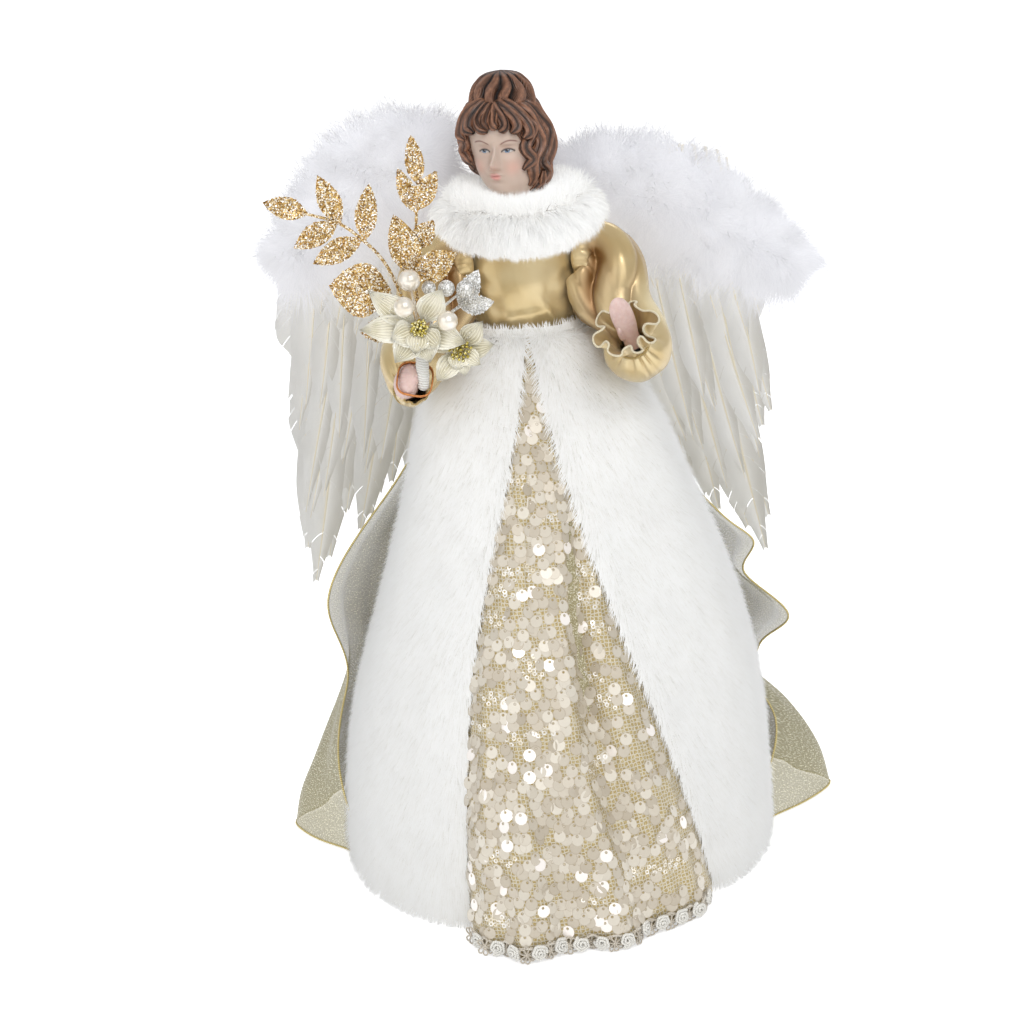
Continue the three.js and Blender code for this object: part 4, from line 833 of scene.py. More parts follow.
# Each arm's side, the line of its sleeve from the shoulder, where its fingers point and where the hand is broad.
ARMS = {
    "left": (1, ((0, 0, 0), (10, -5, -2), (16, -18, -18), (22.5, -33, -33), (23, -47, -34), (19, -57, -25),
                 (15.5, -65, -16)), (-0.28, -0.42, 0.86), (0.8, 0, 0.4)),
    "right": (-1, ((0, 0, 0), (10, -5, -2), (19, -18, -19), (27, -34, -37), (29, -48, -43), (28, -57, -42),
                   (26, -66, -38)), (0.1, -0.86, 0.5), (0.2, 0.45, 0.85)),
}
shoulder_out, shoulder_back, shoulder_height, wrist_share = 28.0, -3, 306.4, 0.83
wrists = {}
for hand, (side, line, fingers, broad) in ARMS.items():
    line = np.array(line, float) * (side, 1, 1) + (side * shoulder_out, shoulder_back, shoulder_height)
    shares = np.linspace(0, 1, 190)
    centre = curve(line, shares)
    along = unit(np.gradient(centre, axis=0))
    begun = shares < 0.1
    along[begun] = mix(np.array([side, 0, 0]), along, eased(shares, 0.04, 0.12)[:, None])[begun]
    along = unit(along)
    u = carried(along, np.array([0.0, 1, 0]))
    v = np.cross(along, u)
    turn, way = np.meshgrid(np.linspace(0, 2 * np.pi, 161), shares)
    start, cuff = 1 - eased(way, 0.02, 0.4), np.exp(-((way - 0.82) / 0.075) ** 2)
    ridge = lambda phase: 1 - 2 * ((1 - np.sin(phase)) / 2) ** 3
    tucks = ridge(13 * turn + 1.5 * np.sin(2 * turn)) * 0.5 * start * eased(way, 0.0, 0.08)
    tucks = tucks + ridge(11 * turn + 2 * np.sin(3 * turn + side)) * (0.8 * cuff * (1 - eased(way, 0.8, 0.86)))
    ahead = turn if side > 0 else 2 * np.pi - turn
    hanging = eased(way, 0.03, 0.12) * (1 - eased(way, 0.44, 0.62))
    drape = 1.1 * np.sin(3 * ahead + 2.6 + 2 * way) * hanging
    for places, deep, narrow in SLEEVE_VALLEYS:
        off = np.sqrt((ahead - through(way, (0, 0.28, 0.56), places)) ** 2 + 0.0016)
        drape = drape - deep * np.exp(-off / narrow) * hanging
    drape = drape + 1.1 * ridge(2 * turn + 9 * way + 1.5 * np.sin(turn)) * np.exp(-((way - 0.55) / 0.14) ** 2)
    wave = 8 * turn + 1.2 * np.sin(2 * turn + side) + 0.9 * np.sin(3 * turn)
    open_part = eased(way, 0.84, 1.0)
    ruffled = 0.85 + 0.3 * np.sin(2 * turn + 0.7) if side > 0 else 0.12
    frill = open_part * (3.0 * ruffled * np.sin(wave) - (0 if side > 0 else 6.0))
    flow = open_part * (2.2 * ruffled * np.cos(wave + 0.6) - 1.4)
    twirl = turn - 0.07 * open_part * np.sin(2 * wave)
    spoke = np.cos(twirl)[..., None] * u[:, None] + np.sin(twirl)[..., None] * v[:, None]
    under = np.clip(spoke @ np.array([-0.62 * side, -0.1, -0.78]), 0, 1) ** 1.3
    sag = 6 * under * eased(way, 0.03, 0.16) * (1 - eased(way, 0.26, 0.5))
    crown = np.clip(spoke @ np.array([0.3 * side, -0.1, 0.95]), 0, 1) ** 1.2
    sag = sag + 9 * crown * eased(way, -0.06, 0.06) * (1 - eased(way, 0.16, 0.42))
    radius = through(way, *zip(*SLEEVE)) + tucks + drape + frill + sag
    sleeve_points = centre[:, None] + radius[..., None] * spoke + flow[..., None] * along[:, None]
    bodice_side = 27.9 * np.sqrt(np.clip(1 - (sleeve_points[..., 1] / 25) ** 2, 0.1, 1))
    bodice_side = bodice_side + 0.8 * eased(way, 0, 0.1)
    inward = 6 * eased(-side * spoke[..., 0], -0.1, 0.9) * eased(way, 0.02, 0.14) * (1 - eased(way, 0.2, 0.5))
    beside = np.maximum(side * sleeve_points[..., 0] - inward, bodice_side)
    sleeve_points[..., 0] = side * mix(bodice_side, beside, eased(way, -0.01, 0.1))
    # Paint for the satin: low in the fold valleys as painted shade, high on the crests and the frill's waves as
    # painted highlights.
    fold_shade = np.clip(0.78 + 0.2 * (tucks + drape) / 1.6 + 0.12 * open_part * np.sin(wave), 0.05, 1)
    sleeve_shape = sleeve_points, grid(sleeve_points)[:, ::-1], lengths(sleeve_points)
    sleeve = piece(f"satin_sleeve_{hand}", sleeve_shape, satin, f"{hand}_arm", "satin", f"sleeve_{hand}",
                   paint=fold_shade)
    overlock = piece(f"cuff_overlock_{hand}", tube(sleeve_points[-1], 0.5, 6),
                     overlock_thread if side > 0 else elastic, f"{hand}_arm", "satin")
    cloth_area(sleeve_points) * 1.02
    k = int(wrist_share * (len(shares) - 1))
    loop = np.linspace(0, 2 * np.pi, 49)[:, None]
    band = centre[k] + 7.4 * (np.cos(loop) * u[k] + np.sin(loop) * v[k]) + along[k] * 0.3 * np.sin(9 * loop)
    piece(f"elastic_{hand}", tube(band, 0.6, 7), elastic, f"{hand}_arm", "wire", f"cuff_elastic_{hand}")

    aim = unit(np.array(fingers))
    wide = unit(np.array(broad) - aim * (np.array(broad) @ aim))
    thin = np.cross(aim, wide)
    wrist = curve(line, [wrist_share])[0]
    wrists[hand] = wrist, aim, wide, thin
    share, turn = np.meshgrid(np.linspace(0, 1, 60), np.linspace(0, 2 * np.pi, 73)[:-1], indexing="ij")
    stations = (0, 0.2, 0.42, 0.62, 0.8, 0.9, 0.96, 1)
    breadth = through(share, stations, (4, 4.1, 5.0, 5.2, 4.6, 3.5, 2.2, 0.2))
    depth = through(share, stations, (4, 3.6, 3.4, 3.1, 2.6, 2.0, 1.3, 0.2))
    mitten = 0 if side > 0 else eased(share, 0.12, 0.5)
    across = breadth * np.cos(turn) * (1 + 0.55 * mitten)
    shift, depth = 0.7 * mitten * depth, depth * (1 + 0.75 * mitten)
    parting = sum(np.exp(-((across - at) / 0.42) ** 2) for at in (-2.4, 0.0, 2.4)) * eased(share, 0.5, 0.62)
    depth = depth - 0.3 * parting
    reach = (30.5 if side > 0 else 26) * share
    bent = depth * np.sin(turn) + shift - 1.2 * share ** 2
    palm = wrist + aim * reach[..., None] + wide * across[..., None] + thin * bent[..., None]
    shapes = [laid(palm, np.stack([turn, share * 25], -1), True)]
    t = np.linspace(0, 1, 11)[:, None]
    thumb = wrist + aim * (6 + 9 * t) - side * wide * (3.0 + 2.2 * t - 1.8 * t * t) - thin * (1.2 + 1.4 * t)
    thumb_radius = np.array([1.2, 1.6, 1.75, 1.75, 1.65, 1.55, 1.5, 1.4, 1.2, 0.8, 0.15])
    shapes.append(tube(thumb, thumb_radius, 10))
    piece(f"cast_hand_{hand}", together(shapes), bisque, f"{hand}_arm", "bisque", f"hand_{hand}")


# Wings: cream goose quills glued in layers to a card on a bent wire, with smaller coverts over their roots.
# Each vane has a shaft and barbs that part in places.
def feather(root, tip, facing, half_width, bow, sickle, rng, splits=11):
    """A quill: shaft root + s span + sickle (s^2 - s) across + bow sin(pi s) up, with barbs in zipped clumps."""
    root, tip = np.asarray(root, float), np.asarray(tip, float)
    span = tip - root
    length = np.linalg.norm(span)
    along = span / length
    across = unit(np.cross(along, facing))
    up = np.cross(across, along)
    shaft = lambda s: (root + span * s[..., None] + across * (sickle * length * (s * s - s))[..., None]
                       + up * (bow * length * np.sin(np.pi * s))[..., None])
    s = np.linspace(0, 0.985, 24)
    points, faces, places = tube(shaft(s) + up * 0.2, 0.62 * (1 - s) + 0.12, 5)
    shapes = [(points, faces, np.column_stack([np.zeros(len(points)), places[:, 1]]))]
    for edge, breadth in ((1, 1.0), (-1, 0.72)):
        cuts = np.linspace(0.15, 0.91, splits - 1) + rng.uniform(-0.028, 0.028, splits - 1)
        cuts = np.concatenate([[0.08], cuts, [0.965]])
        for low, high in zip(cuts[:-1], cuts[1:]):
            s, t = np.meshgrid(np.linspace(low, high - 0.002, 5), np.linspace(0, 1, 7), indexing="ij")
            full = eased(s, 0.03, 0.34) * (1 - 0.93 * eased(s, 0.66, 1.02) ** 1.2)
            barb = half_width * breadth * full * rng.uniform(0.92, 1.06)
            slant = 1.25 + rng.uniform(-0.16, 0.16) * t
            lift = rng.uniform(-0.5, 0.5) * t + 0.8 * t * (1 - t)
            vane = shaft(s) + edge * across * (barb * t ** 0.92)[..., None]
            vane = vane + along * (barb * slant * t ** 1.5)[..., None] + up * lift[..., None]
            shapes.append(laid(vane, np.stack([edge * t, s * length - 1.1 * barb * t], -1)))
    return together(shapes)


quill = Finish("goose_quill", roughness=0.55, sheen_weight=0.25)
barbs = (quill.cloth.part(1) * 5.5).sine()
mottle = quill.place.stretched(1, 1, 0.3).noise(0.09, 3).between(0.3, 0.7)
near = quill.cloth.part(0).size().between(0.0, 0.12)
# Each vane is painted darker on its narrow side, tucked under the next feather, as painted shade, and lighter on
# its broad side as painted light.
tucked = quill.cloth.part(0).between(-1.0, 0.7)
vane_colour = (tucked * 0.75 + mottle * 0.25).mix(linear(226, 222, 213), linear(255, 254, 251))
vane_colour = (barbs.between(-1.0, 1.0) * 0.3).mix(vane_colour, linear(254, 253, 249))
quill.feed(base_color=near.mix(linear(240, 230, 206), vane_colour), roughness=0.62 - 0.1 * mottle)
quill.bump(barbs, 0.12)
coat(card, "wing_card_left", "wing_card_right")
coat(steel, "wing_wire_left", "wing_wire_right")
forward, quills, quill_half_width = (0, -1, 0), 8, 11
post_out, post_back = 13.0, 21.236
for side, hand in ((1, "left"), (-1, "right")):
    rng = np.random.default_rng(71 + side)
    post = np.array([side * post_out, post_back, 0])
    for i in range(quills):
        share = i / (quills - 1)
        long = mix(mix(150, 90, share), 228, math.sin(math.pi * share ** 1.2) ** 1.3)
        lean = math.radians(mix(13, 8.5, share))
        height = 333.4 + 17 * math.sin(math.pi * mix(0.15, 0.8, share))
        root = post + (side * mix(34, 93, share), 20.5 + 1.4 * (i % 4), height)
        tip = root + long * np.array([side * math.sin(lean), 0, -math.cos(lean)])
        bow, sickle = rng.uniform(-0.01, 0.015), side * rng.uniform(-0.09, -0.01)
        vanes = feather(root, tip, forward, quill_half_width, bow, sickle, rng)
        piece(f"quill_{hand}_{i + 1}", vanes, quill, f"{hand}_wing", "feather", f"wing_feather_{hand}_{i + 1}",
              airy=True)
    shapes = []
    for i in range(7):
        share = i / 6
        root = post + (side * mix(29, 46, share), 22.6 + 0.9 * (i % 3), 337)
        aside = side * mix(52, 98, share) + rng.uniform(-2, 2)
        tip = np.array([aside, 45.5, mix(206, 152, share) + rng.uniform(-5, 5)])
        shapes.append(feather(root, tip, forward, 10, 0.01, side * rng.uniform(-0.08, 0.02), rng, 9))
    for row, (count, first, long) in enumerate(((9, 0.04, 150), (10, 0.02, 112), (9, 0.06, 74))):
        for i in range(count):
            share = first + (0.92 - first) * i / (count - 1)
            lean = math.radians(mix(14, 9, share) + rng.uniform(-4, 4))
            height = 338 + 15 * math.sin(math.pi * mix(0.15, 0.8, share))
            root = post + (side * mix(36, 92, share), 17.6 - 2.2 * row + rng.uniform(-0.6, 0.6), height)
            length = long * rng.uniform(0.85, 1.12) * (0.8 + 0.35 * math.sin(math.pi * share))
            tip = root + length * np.array([side * math.sin(lean), rng.uniform(-0.02, 0.02), -math.cos(lean)])
            half_width, sickle = rng.uniform(7, 9.5), side * rng.uniform(-0.1, 0.04)
            shapes.append(feather(root, tip, forward, half_width, 0.015, sickle, rng, 9))
    piece(f"coverts_{hand}", together(shapes), quill, f"{hand}_wing", "feather", airy=True)


# Wing patch: a square of cream felt glued over both wing wires at the back of the shoulders.
# Its rim is pressed thin and its face is matted.
felt = Finish("felt", roughness=0.95, sheen_weight=0.3)
matted = felt.place.noise(1.2, 5)
felt.feed(base_color=matted.between(0.3, 0.7).mix(linear(214, 204, 182), linear(236, 229, 212)))
felt.bump(matted, 0.4)
lower, upper = (np.array(v) * 1000 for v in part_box("wing_patch"))
wide, high = np.meshgrid(np.linspace(-1, 1, 41), np.linspace(1, -1, 25))
edge = np.maximum(np.abs(wide), np.abs(high)) ** 6
half, middle = (upper - lower) / 2, (upper + lower) / 2
flat_places = np.stack([wide, high], -1)
back = upper[1] - 0.5 * edge * half[1] + 0.12 * waves(np.stack([wide * half[0], high * half[2]], -1), 5, 79)
patch_points = np.stack([middle[0] + half[0] * wide, back, middle[2] + half[2] * high], -1)
front_points = patch_points.copy()
front_points[..., 1] = lower[1] + 0.15
outside = patch_points.reshape(-1, 3), grid(patch_points)[:, ::-1], flat_places.reshape(-1, 2)
piece("felt_patch", together([outside, laid(front_points, flat_places)]), felt, "figure", "satin", "wing_patch")


# Marabou down: soft white plumes glued along each wing's leading edge, close beside the head.
# A soft core carries a dense short fuzz and longer loose wisps.
down_finish = fur_finish("marabou", linear(214, 214, 220), linear(245, 245, 249))
roll_height, roll_depth = 33, 9
# Each roll's side, hand, reach, start and rises along its line, then each layer's name, count of barbs, their
# lengths and width, where in the roll they root, and their droop.
WINGS = ((1, "left", 134, 9, (18.5, 8, -7, -21, -34)), (-1, "right", 114, 20, (34, 31, 14, -2, -12)))
PLUMES = (("fuzz", 64000, (6, 13), 0.16, (0.25, 0.85), 0.15), ("wisps", 9000, (12, 25), 0.12, (0.6, 0.95), 0.35))


def roll(path, side, share, turn):
    """Places on an oval roll along a path that thins outward: spine, heading, spoke and outward direction."""
    spine = curve(path, share)
    heading = unit(curve(path, np.minimum(share + 0.02, 1)) - curve(path, np.maximum(share - 0.02, 0)))
    rise = np.cross(heading, (0, side, 0))
    plump = through(share, (0, 0.125, 0.25, 0.5, 0.75, 1), (0.62, 0.9, 1, 0.96, 0.72, 0.3))[:, None]
    c, s = np.cos(turn)[:, None], np.sin(turn)[:, None] * np.array([0, 1.0, 0])
    spoke = roll_height * plump * rise * c + roll_depth * np.sqrt(plump) * s
    return spine, heading, spoke, unit(rise * c / roll_height + s / roll_depth)


for side, hand, reach, start, rises in WINGS:
    rng = np.random.default_rng(81 + side)
    outward = np.array([start, 0.44 * reach, 0.625 * reach, 0.81 * reach, 0.94 * reach])
    path = np.column_stack([side * (post_out + outward), np.full(5, 31.8), 319.4 + np.array(rises)])
    along, turn = np.meshgrid(np.linspace(0, 1, 60), np.linspace(0, 2 * np.pi, 33)[:-1], indexing="ij")
    spine, heading, spoke, out = roll(path, side, along.ravel(), turn.ravel())
    core = spine + spoke * (0.66 + 0.14 * waves(spine + spoke, 14, 87))[:, None]
    core_shape = core, grid(core.reshape(60, 32, 3), True)
    # The core is painted towards the down's root tone, as painted shade inside the fluff; each barb is painted
    # darker at its root, also as painted shade.
    piece(f"marabou_core_{hand}", core_shape, down_finish, f"{hand}_wing", "down", f"wing_down_{hand}",
          paint=np.full(len(core), 0.35))
    for name, count, sizes, thick, deep, droop in PLUMES:
        share, turn = rng.random(count) ** 0.9, rng.uniform(0, 2 * np.pi, count)
        spine, heading, spoke, out = roll(path, side, share, turn)
        inner, outer = eased(-share, -0.12, 0.0)[:, None], eased(share, 0.88, 1.0)[:, None]
        root = spine + spoke * rng.uniform(*deep, (count, 1))
        lie = 0.7 * unit(spoke) + 0.3 * out + heading * (outer - 1.4 * inner)
        lie = lie + 0.6 * tufts(root, 24, 83) + 0.5 * tufts(root, 8, 86)
        lie = (lie + 0.3 * rng.normal(size=lie.shape)) * (1, 0.6, 1)
        size = rng.uniform(*sizes, count) * (1 + 0.4 * inner[:, 0])
        facing_out = unit(0.4 * out + np.array([0, 1, 0]) * np.sign(out[:, 1:2]) + (0, 0, 0.25))
        sag = 0.35 * tufts(root, 12, 88) - (0, 0, droop)
        points, faces, way, facing = hairs(root, lie, facing_out, size, thick, sag, rng)
        way = 0.35 + way * 0.45 + rng.uniform(-0.15, 0.25, (count, 1)) + 0.2 * waves(root, 17, 89)[:, None]
        piece(f"marabou_{name}_{hand}", (points, faces), down_finish, f"{hand}_wing", "down", paint=way,
              facing=facing, airy=True)


# Head: one cast and painted bisque piece on a flange between the shoulders, turned a little to the doll's right.
# A calm doll's face is painted on it, and the modelled hair is swept up in waves to a lobed bun.
# The head's sections follow: height, half width, depth in front and depth behind.
HEAD = np.array((
    (0, 12, 12, 12), (3, 11, 11, 11), (7, 8, 8, 9), (19, 7, 7, 10), (22.9, 9.2, 14.9, 12.6),
    (25.3, 11.3, 20.4, 14.7), (28.7, 13.8, 22.4, 17.2), (33.9, 15.6, 23.2, 18.9), (39.9, 16.6, 23.6, 20.2),
    (45.9, 17.6, 23.5, 21), (51.9, 18.6, 23.7, 21), (57.9, 18.1, 22.1, 20.2), (63.1, 15.1, 16.8, 17.6),
    (67.4, 11.1, 9.6, 12.6)))
head_turn = math.radians(-12)


def on_head(angle, z, out=0.0):
    """A point of the head: ovals through its sections, out from them, leant 5 mm aside by the crown and turned."""
    wide, front, back = (through(z, HEAD[:, 0], HEAD[:, k]) for k in (1, 2, 3))
    depth = np.where(np.cos(angle) > 0, front, back)
    x = (wide + out) * np.sin(angle) - 5 * np.clip((z - 19) / 43, 0, 1)
    y = -(depth + out) * np.cos(angle)
    c, s = math.cos(head_turn), math.sin(head_turn)
    return np.stack([x * c - y * s, x * s + y * c, z + chest_top], -1)


def lump(x, z, wide, high):
    """A soft hill, exp(-(x / wide)^2 - (z / high)^2)."""
    return np.exp(-(x / wide) ** 2 - (z / high) ** 2)


side_turn, low, top, crown = 1.05, 22, 56, 67.4
turn = np.concatenate([np.linspace(-np.pi, -side_turn, 30)[:-1], np.linspace(-side_turn, side_turn, 210),
                       np.linspace(side_turn, np.pi, 30)[1:]])
rise = np.concatenate([np.linspace(0, low, 22)[:-1], np.linspace(low, top, 170), np.linspace(top, crown, 16)[1:]])
turn, rise = np.meshgrid(turn, rise[::-1])
chin_height, glance = 24.4, 0.1
h = rise - chin_height
x = through(rise, HEAD[:, 0], HEAD[:, 1]) * np.sin(turn + glance)
x = x + through(h, (-2, 10, 15, 22, 28), (1.4, 2.0, 1.2, -0.5, -0.7))
apart = np.abs(x)
front = np.cos(turn) > 0
eye_apart, eye_level, lip_level = 5.8, 21.3, 9.75
nose_width = through(h, (12, 15, 20, 26), (1.9, 1.9, 1.4, 1.2))
nose = through(h, (12.4, 14.2, 15.4, 19.5, 23.5, 26), (0, 4.6, 5.6, 3.5, 1.2, 0)) * np.exp(-(x / nose_width) ** 2)
nose = nose * (h > 12.4) * (h < 26) + 0.9 * lump(apart - 2.0, h - 14.2, 1.0, 1.1)
eyes = -1.7 * lump(apart - eye_apart, h - 21.6, 3.4, 2.7) + 1.1 * lump(apart - eye_apart, h - 21.2, 2.3, 1.5)
eyes = eyes + 0.45 * lump(apart - 5.6, h - 25, 4, 1.2)
mouth = 0.95 * lump(x, h - 10.6, 2.6, 0.7) + 1.05 * lump(x, h - 8.8, 2.2, 0.8)
mouth = mouth - 0.8 * lump(x, h - lip_level, 2.6, 0.3)
chin = 0.9 * lump(x, h - 2.8, 3.6, 2.4) - 0.7 * lump(x, h - 6.6, 3.0, 1.0)
chin = chin + 0.8 * lump(apart - 8.0, h - 14, 3.8, 5)
face_points = on_head(turn, rise, np.where(front, nose + eyes + mouth + chin, 0))

paint = np.broadcast_to(np.array(linear(197, 175, 160)[:3]), x.shape + (3,)).copy()


def brushed(amount, colour):
    """Lays a colour over the paint where the amount is 1."""
    amount = np.clip(np.where(front, amount, 0), 0, 1)[..., None]
    paint[:] = paint * (1 - amount) + np.array(linear(*colour)[:3]) * amount


# Painted shade down the doll's right side of the nose and beside its top, under the inner ends of the brows.
brushed(0.36 * lump(x + 2.6, h - 17.5, 1.3, 4.5) + 0.2 * lump(apart - 4.2, h - 24, 2.2, 1.4), (168, 138, 120))
brushed(0.36 * lump(apart - 8.4, h - 13.8, 3.4, 3.6), (226, 156, 138))
brushed(0.25 * lump(x, h - 14, 2.2, 2), (228, 160, 146))
bow = 0.35 * np.exp(-(x / 0.8) ** 2)
lips = 1 - (apart / 3.2) ** 2 - ((h - lip_level) / np.where(h > lip_level, 1.9 - bow, 2.3)) ** 2
brushed(0.8 * eased(lips, -0.2, 0.9), (220, 156, 150))
brushed(0.35 * np.exp(-((h - lip_level) / 0.2) ** 2) * (1 - eased(apart, 1.6, 2.8)), (178, 116, 108))
brushed(0.35 * lump(apart - 5.4, h - 23.2, 3.0, 1.0), (186, 140, 124))
reach_x, eye_h = (apart - eye_apart) / 2.7, h - eye_level
upper, lower = 0.95 * np.clip(1 - reach_x ** 2, 0, 1) ** 0.8, -0.75 * np.clip(1 - reach_x ** 2, 0, 1)
inside = (np.abs(reach_x) < 1) * eased(upper - eye_h, -0.06, 0.1) * eased(eye_h - lower, -0.06, 0.1)
brushed(inside, (206, 200, 196))
off_pupil = x - np.sign(x) * eye_apart
to_iris = np.hypot(off_pupil + 0.25, eye_h - 0.22)
brushed(inside * eased(1.2 - to_iris, -0.06, 0.12), (70, 92, 122))
brushed(inside * eased(1.0 - to_iris, -0.06, 0.2) * eased(0.1 - eye_h, 0, 0.5), (136, 172, 202))
brushed(inside * eased(0.66 - to_iris, -0.06, 0.1), (22, 20, 24))
brushed(inside * eased(0.24 - np.hypot(off_pupil - 0.15, eye_h - 0.62), -0.05, 0.08), (250, 250, 250))
brushed(np.exp(-((eye_h - upper) / 0.5) ** 2) * (np.abs(reach_x) < 1.16), (36, 26, 26))
brushed(0.5 * np.exp(-((eye_h - lower) / 0.16) ** 2) * (np.abs(reach_x) < 1.0), (120, 84, 70))
brow = 24.3 + 1.9 * np.cos((apart - 7.2) / 3.2)
brow_ends = eased(apart, 2.2, 3.4) * (1 - eased(apart, 9.4, 11))
brushed(0.9 * np.exp(-((h - brow) / 0.36) ** 2) * brow_ends, (112, 66, 56))
paint = paint * (1 + 0.03 * waves(face_points, 6, 91))[..., None]
painted_skin = Finish("painted_bisque", roughness=0.42, coat_weight=0.12, coat_roughness=0.3,
                      subsurface_weight=0.1)
painted_skin.shader.inputs["Subsurface Radius"].default_value = (0.004, 0.002, 0.001)
grain = painted_skin.place.noise(1.6, 3)
painted_skin.feed(base_color=painted_skin.painted(), roughness=0.5 - 0.14 * grain)
painted_skin.bump(grain, 0.025)
piece("cast_head", (face_points, grid(face_points)), painted_skin, "figure", "bisque", "head_casting", paint=paint)


def lock(angles, heights, stand, radius, tone, flat=0.72, wave=0.0):
    """A modelled lock: a grooved, flattened tube along a line of angles, heights and lifts on the head, with a
    paint tone that is dark in its grooves as painted shade and light on its ridges as painted highlight.
    """
    t = np.linspace(0, 1, 30)
    at = lambda values: through(t, np.linspace(0, 1, len(values)), np.asarray(values, float))
    rest = through(at(heights), (20, 35, 45, 52, 57, 63, 68), (-0.4, 0.6, 2.0, 0.2, -1.4, -0.8, -0.6))
    curl = wave * np.sin(14 * t + 9 * tone) * eased(t, 0.1, 0.4)
    line = on_head(at(angles) - glance + curl, at(heights), at(stand) + rest + 6 * np.abs(curl))
    taper = np.clip(np.minimum((t + 0.03) / 0.14, (1.02 - t) / 0.2), 0.1, 1) ** 0.6
    groove = np.cos(5 * np.linspace(0, 2 * np.pi, 20, endpoint=False)[None] + 2.5 * t[:, None] + 9 * tone)
    points, faces, places = tube(line, radius * taper[:, None] * (1 + 0.14 * groove), 20, flat)
    return points, faces, places, np.clip(0.42 + 0.42 * groove + 0.35 * (tone - 0.5), 0, 1).ravel()


rng = np.random.default_rng(95)
locks = []
share, turn = np.meshgrid(np.linspace(0, 1, 80), np.linspace(-np.pi, np.pi, 181), indexing="ij")
aside = np.abs(turn + glance + 0.1 * eased(turn, 0.2, 0.6) * (1 - eased(turn, 1.2, 2.2)))
low = through(aside, (0, 0.3, 0.5, 0.66, 0.8, 0.88, 0.97, 1.1, 1.35, 1.7, 3.4),
              (56.4, 56, 55, 53.4, 50.4, 47, 41.5, 35.5, 29, 24, 23))
height = mix(low, crown, share)
comb = np.sin(30 * turn + 0.3 * height)
scalp = on_head(turn, height, eased(share, 0.0, 0.06) * (1.3 + 0.25 * comb) - 0.3)[::-1]
# The scalp between the locks is painted dark, darkest in its comb grooves, as painted shade.
locks.append((*laid(scalp, np.stack([turn * 2, height], -1)[::-1]), (0.3 + 0.1 * comb)[::-1].ravel()))
# Locks are angles, heights and a thickness; those at the sides begin with how much longer the left one hangs.
front_locks = [
    ((-0.02, -0.1, -0.14, -0.04), (65.6, 62, 58.4, 55.8), 2.7),
    ((0.06, 0.1, 0.09, 0.17), (65.6, 61.6, 58.2, 56), 2.7),
    ((0.0, 0.17, 0.31, 0.33, 0.2), (66, 63.4, 60, 56.8, 55.4), 3.0),
    ((0.05, 0.36, 0.57, 0.62, 0.48), (66.5, 64, 60.4, 56.2, 54), 3.2),
    ((0.15, 0.6, 0.82, 0.86, 0.74), (67, 64, 59, 53.6, 51), 3.3),
    ((-0.12, -0.23, -0.31, -0.22, -0.06), (66, 63, 59.4, 56.2, 55), 3.0),
    ((-0.2, -0.45, -0.59, -0.6, -0.46), (66.5, 63.6, 59.6, 55.8, 54.2), 3.2),
    ((-0.3, -0.7, -0.86, -0.88, -0.76), (67, 63.6, 58.6, 53, 50.4), 3.3)]
for angles, heights, thick in front_locks:
    locks.append(lock(angles, heights, (0, 1.2, 2.4, 2.6, 1.8), thick, rng.random()))
side_locks = [
    (3, (0.6, 0.94, 0.99, 0.93, 1.02, 1.02), (66, 60, 54.5, 48.6, 43.4, 39.4), 3.3),
    (7, (0.9, 1.2, 1.24, 1.14, 1.26, 1.1), (66.5, 60, 53, 46, 40, 35), 3.6),
    (7, (1.2, 1.5, 1.52, 1.42, 1.56, 1.38), (66.8, 59, 51, 43.4, 37, 31), 3.7),
    (7, (1.6, 1.85, 1.88, 1.75, 1.9, 1.75), (66.8, 58, 49, 40, 33, 27), 3.7)]
for way in (-1, 1):
    for longer, angles, heights, thick in side_locks:
        angles, heights = np.array(angles), np.array(heights)
        nearer = 0.28 * (way > 0) * np.clip(2.2 - angles, 0, 1) * (1 - eased(heights, 36, 54))
        lower = heights - longer * (way > 0) * np.linspace(0, 1, 6) ** 1.5
        stand = (0, 0.3, 0.6, -0.2, 0.6, 0)
        locks.append(lock(way * angles - nearer, lower, stand, thick - 0.2, rng.random(), wave=0.09))
for centre in np.radians((122, 143, 164, 185, 206, 227, 238)):
    angles = centre + np.array([0, 0.09, -0.09, 0.09, -0.06])
    locks.append(lock(angles, (66.8, 56, 46, 36, 25), (0, 0.4, 0, 0.6, 0), 3.8, rng.random(), wave=0.08))
nape_locks = ((1.45, 3, 3.0), (1.75, 3, 3.3), (2.2, 3, 3.2), (2.55, 6, 3.0), (-2.1, 14, 2.6), (-2.5, 10, 3.0),
              (3.0, 8, 3.0))
for begin, foot, thick in nape_locks:
    steps = np.linspace(0, 1, 9)
    angles, stand = begin + 0.15 * np.sin(8 * steps + 3 * begin), 1.2 + 0.9 * np.cos(8 * steps)
    locks.append(lock(angles, mix(34, foot, steps), stand, thick, rng.random()))
bun_seat = on_head(np.array(0.0), np.array(crown), -9.6)
share, loop = np.meshgrid(np.linspace(0, 1, 70), np.linspace(0, 2 * np.pi, 181)[:-1], indexing="ij")
stations = (0, 0.2, 0.42, 0.66, 0.86, 1)
ring = through(share, stations, (14.6, 14.6, 13.3, 10.9, 7.0, 0.2))
z = through(share, stations, (379.5, 385.0, 390.2, 395.0, 398.4, 399.6))
lean = loop + 0.13 * np.sin(6.5 * share + 2 * loop)
lobes = 1 - 2 * ((1 - np.sin(12 * lean + 0.5 * np.sin(3 * loop))) / 2) ** 2.2
fine = np.sin(32 * lean + 2 * np.sin(6 * share))
out = (1.9 * lobes * np.sin(np.pi * np.clip(share + 0.12, 0, 1)) ** 0.6 + 0.16 * fine) * (1 - share ** 4)
bun = np.stack([(ring + out) * np.sin(loop), -0.92 * (ring + out) * np.cos(loop), z], -1)
bun = bun + (bun_seat[0] + 0.8, bun_seat[1] + 1.5, 0)
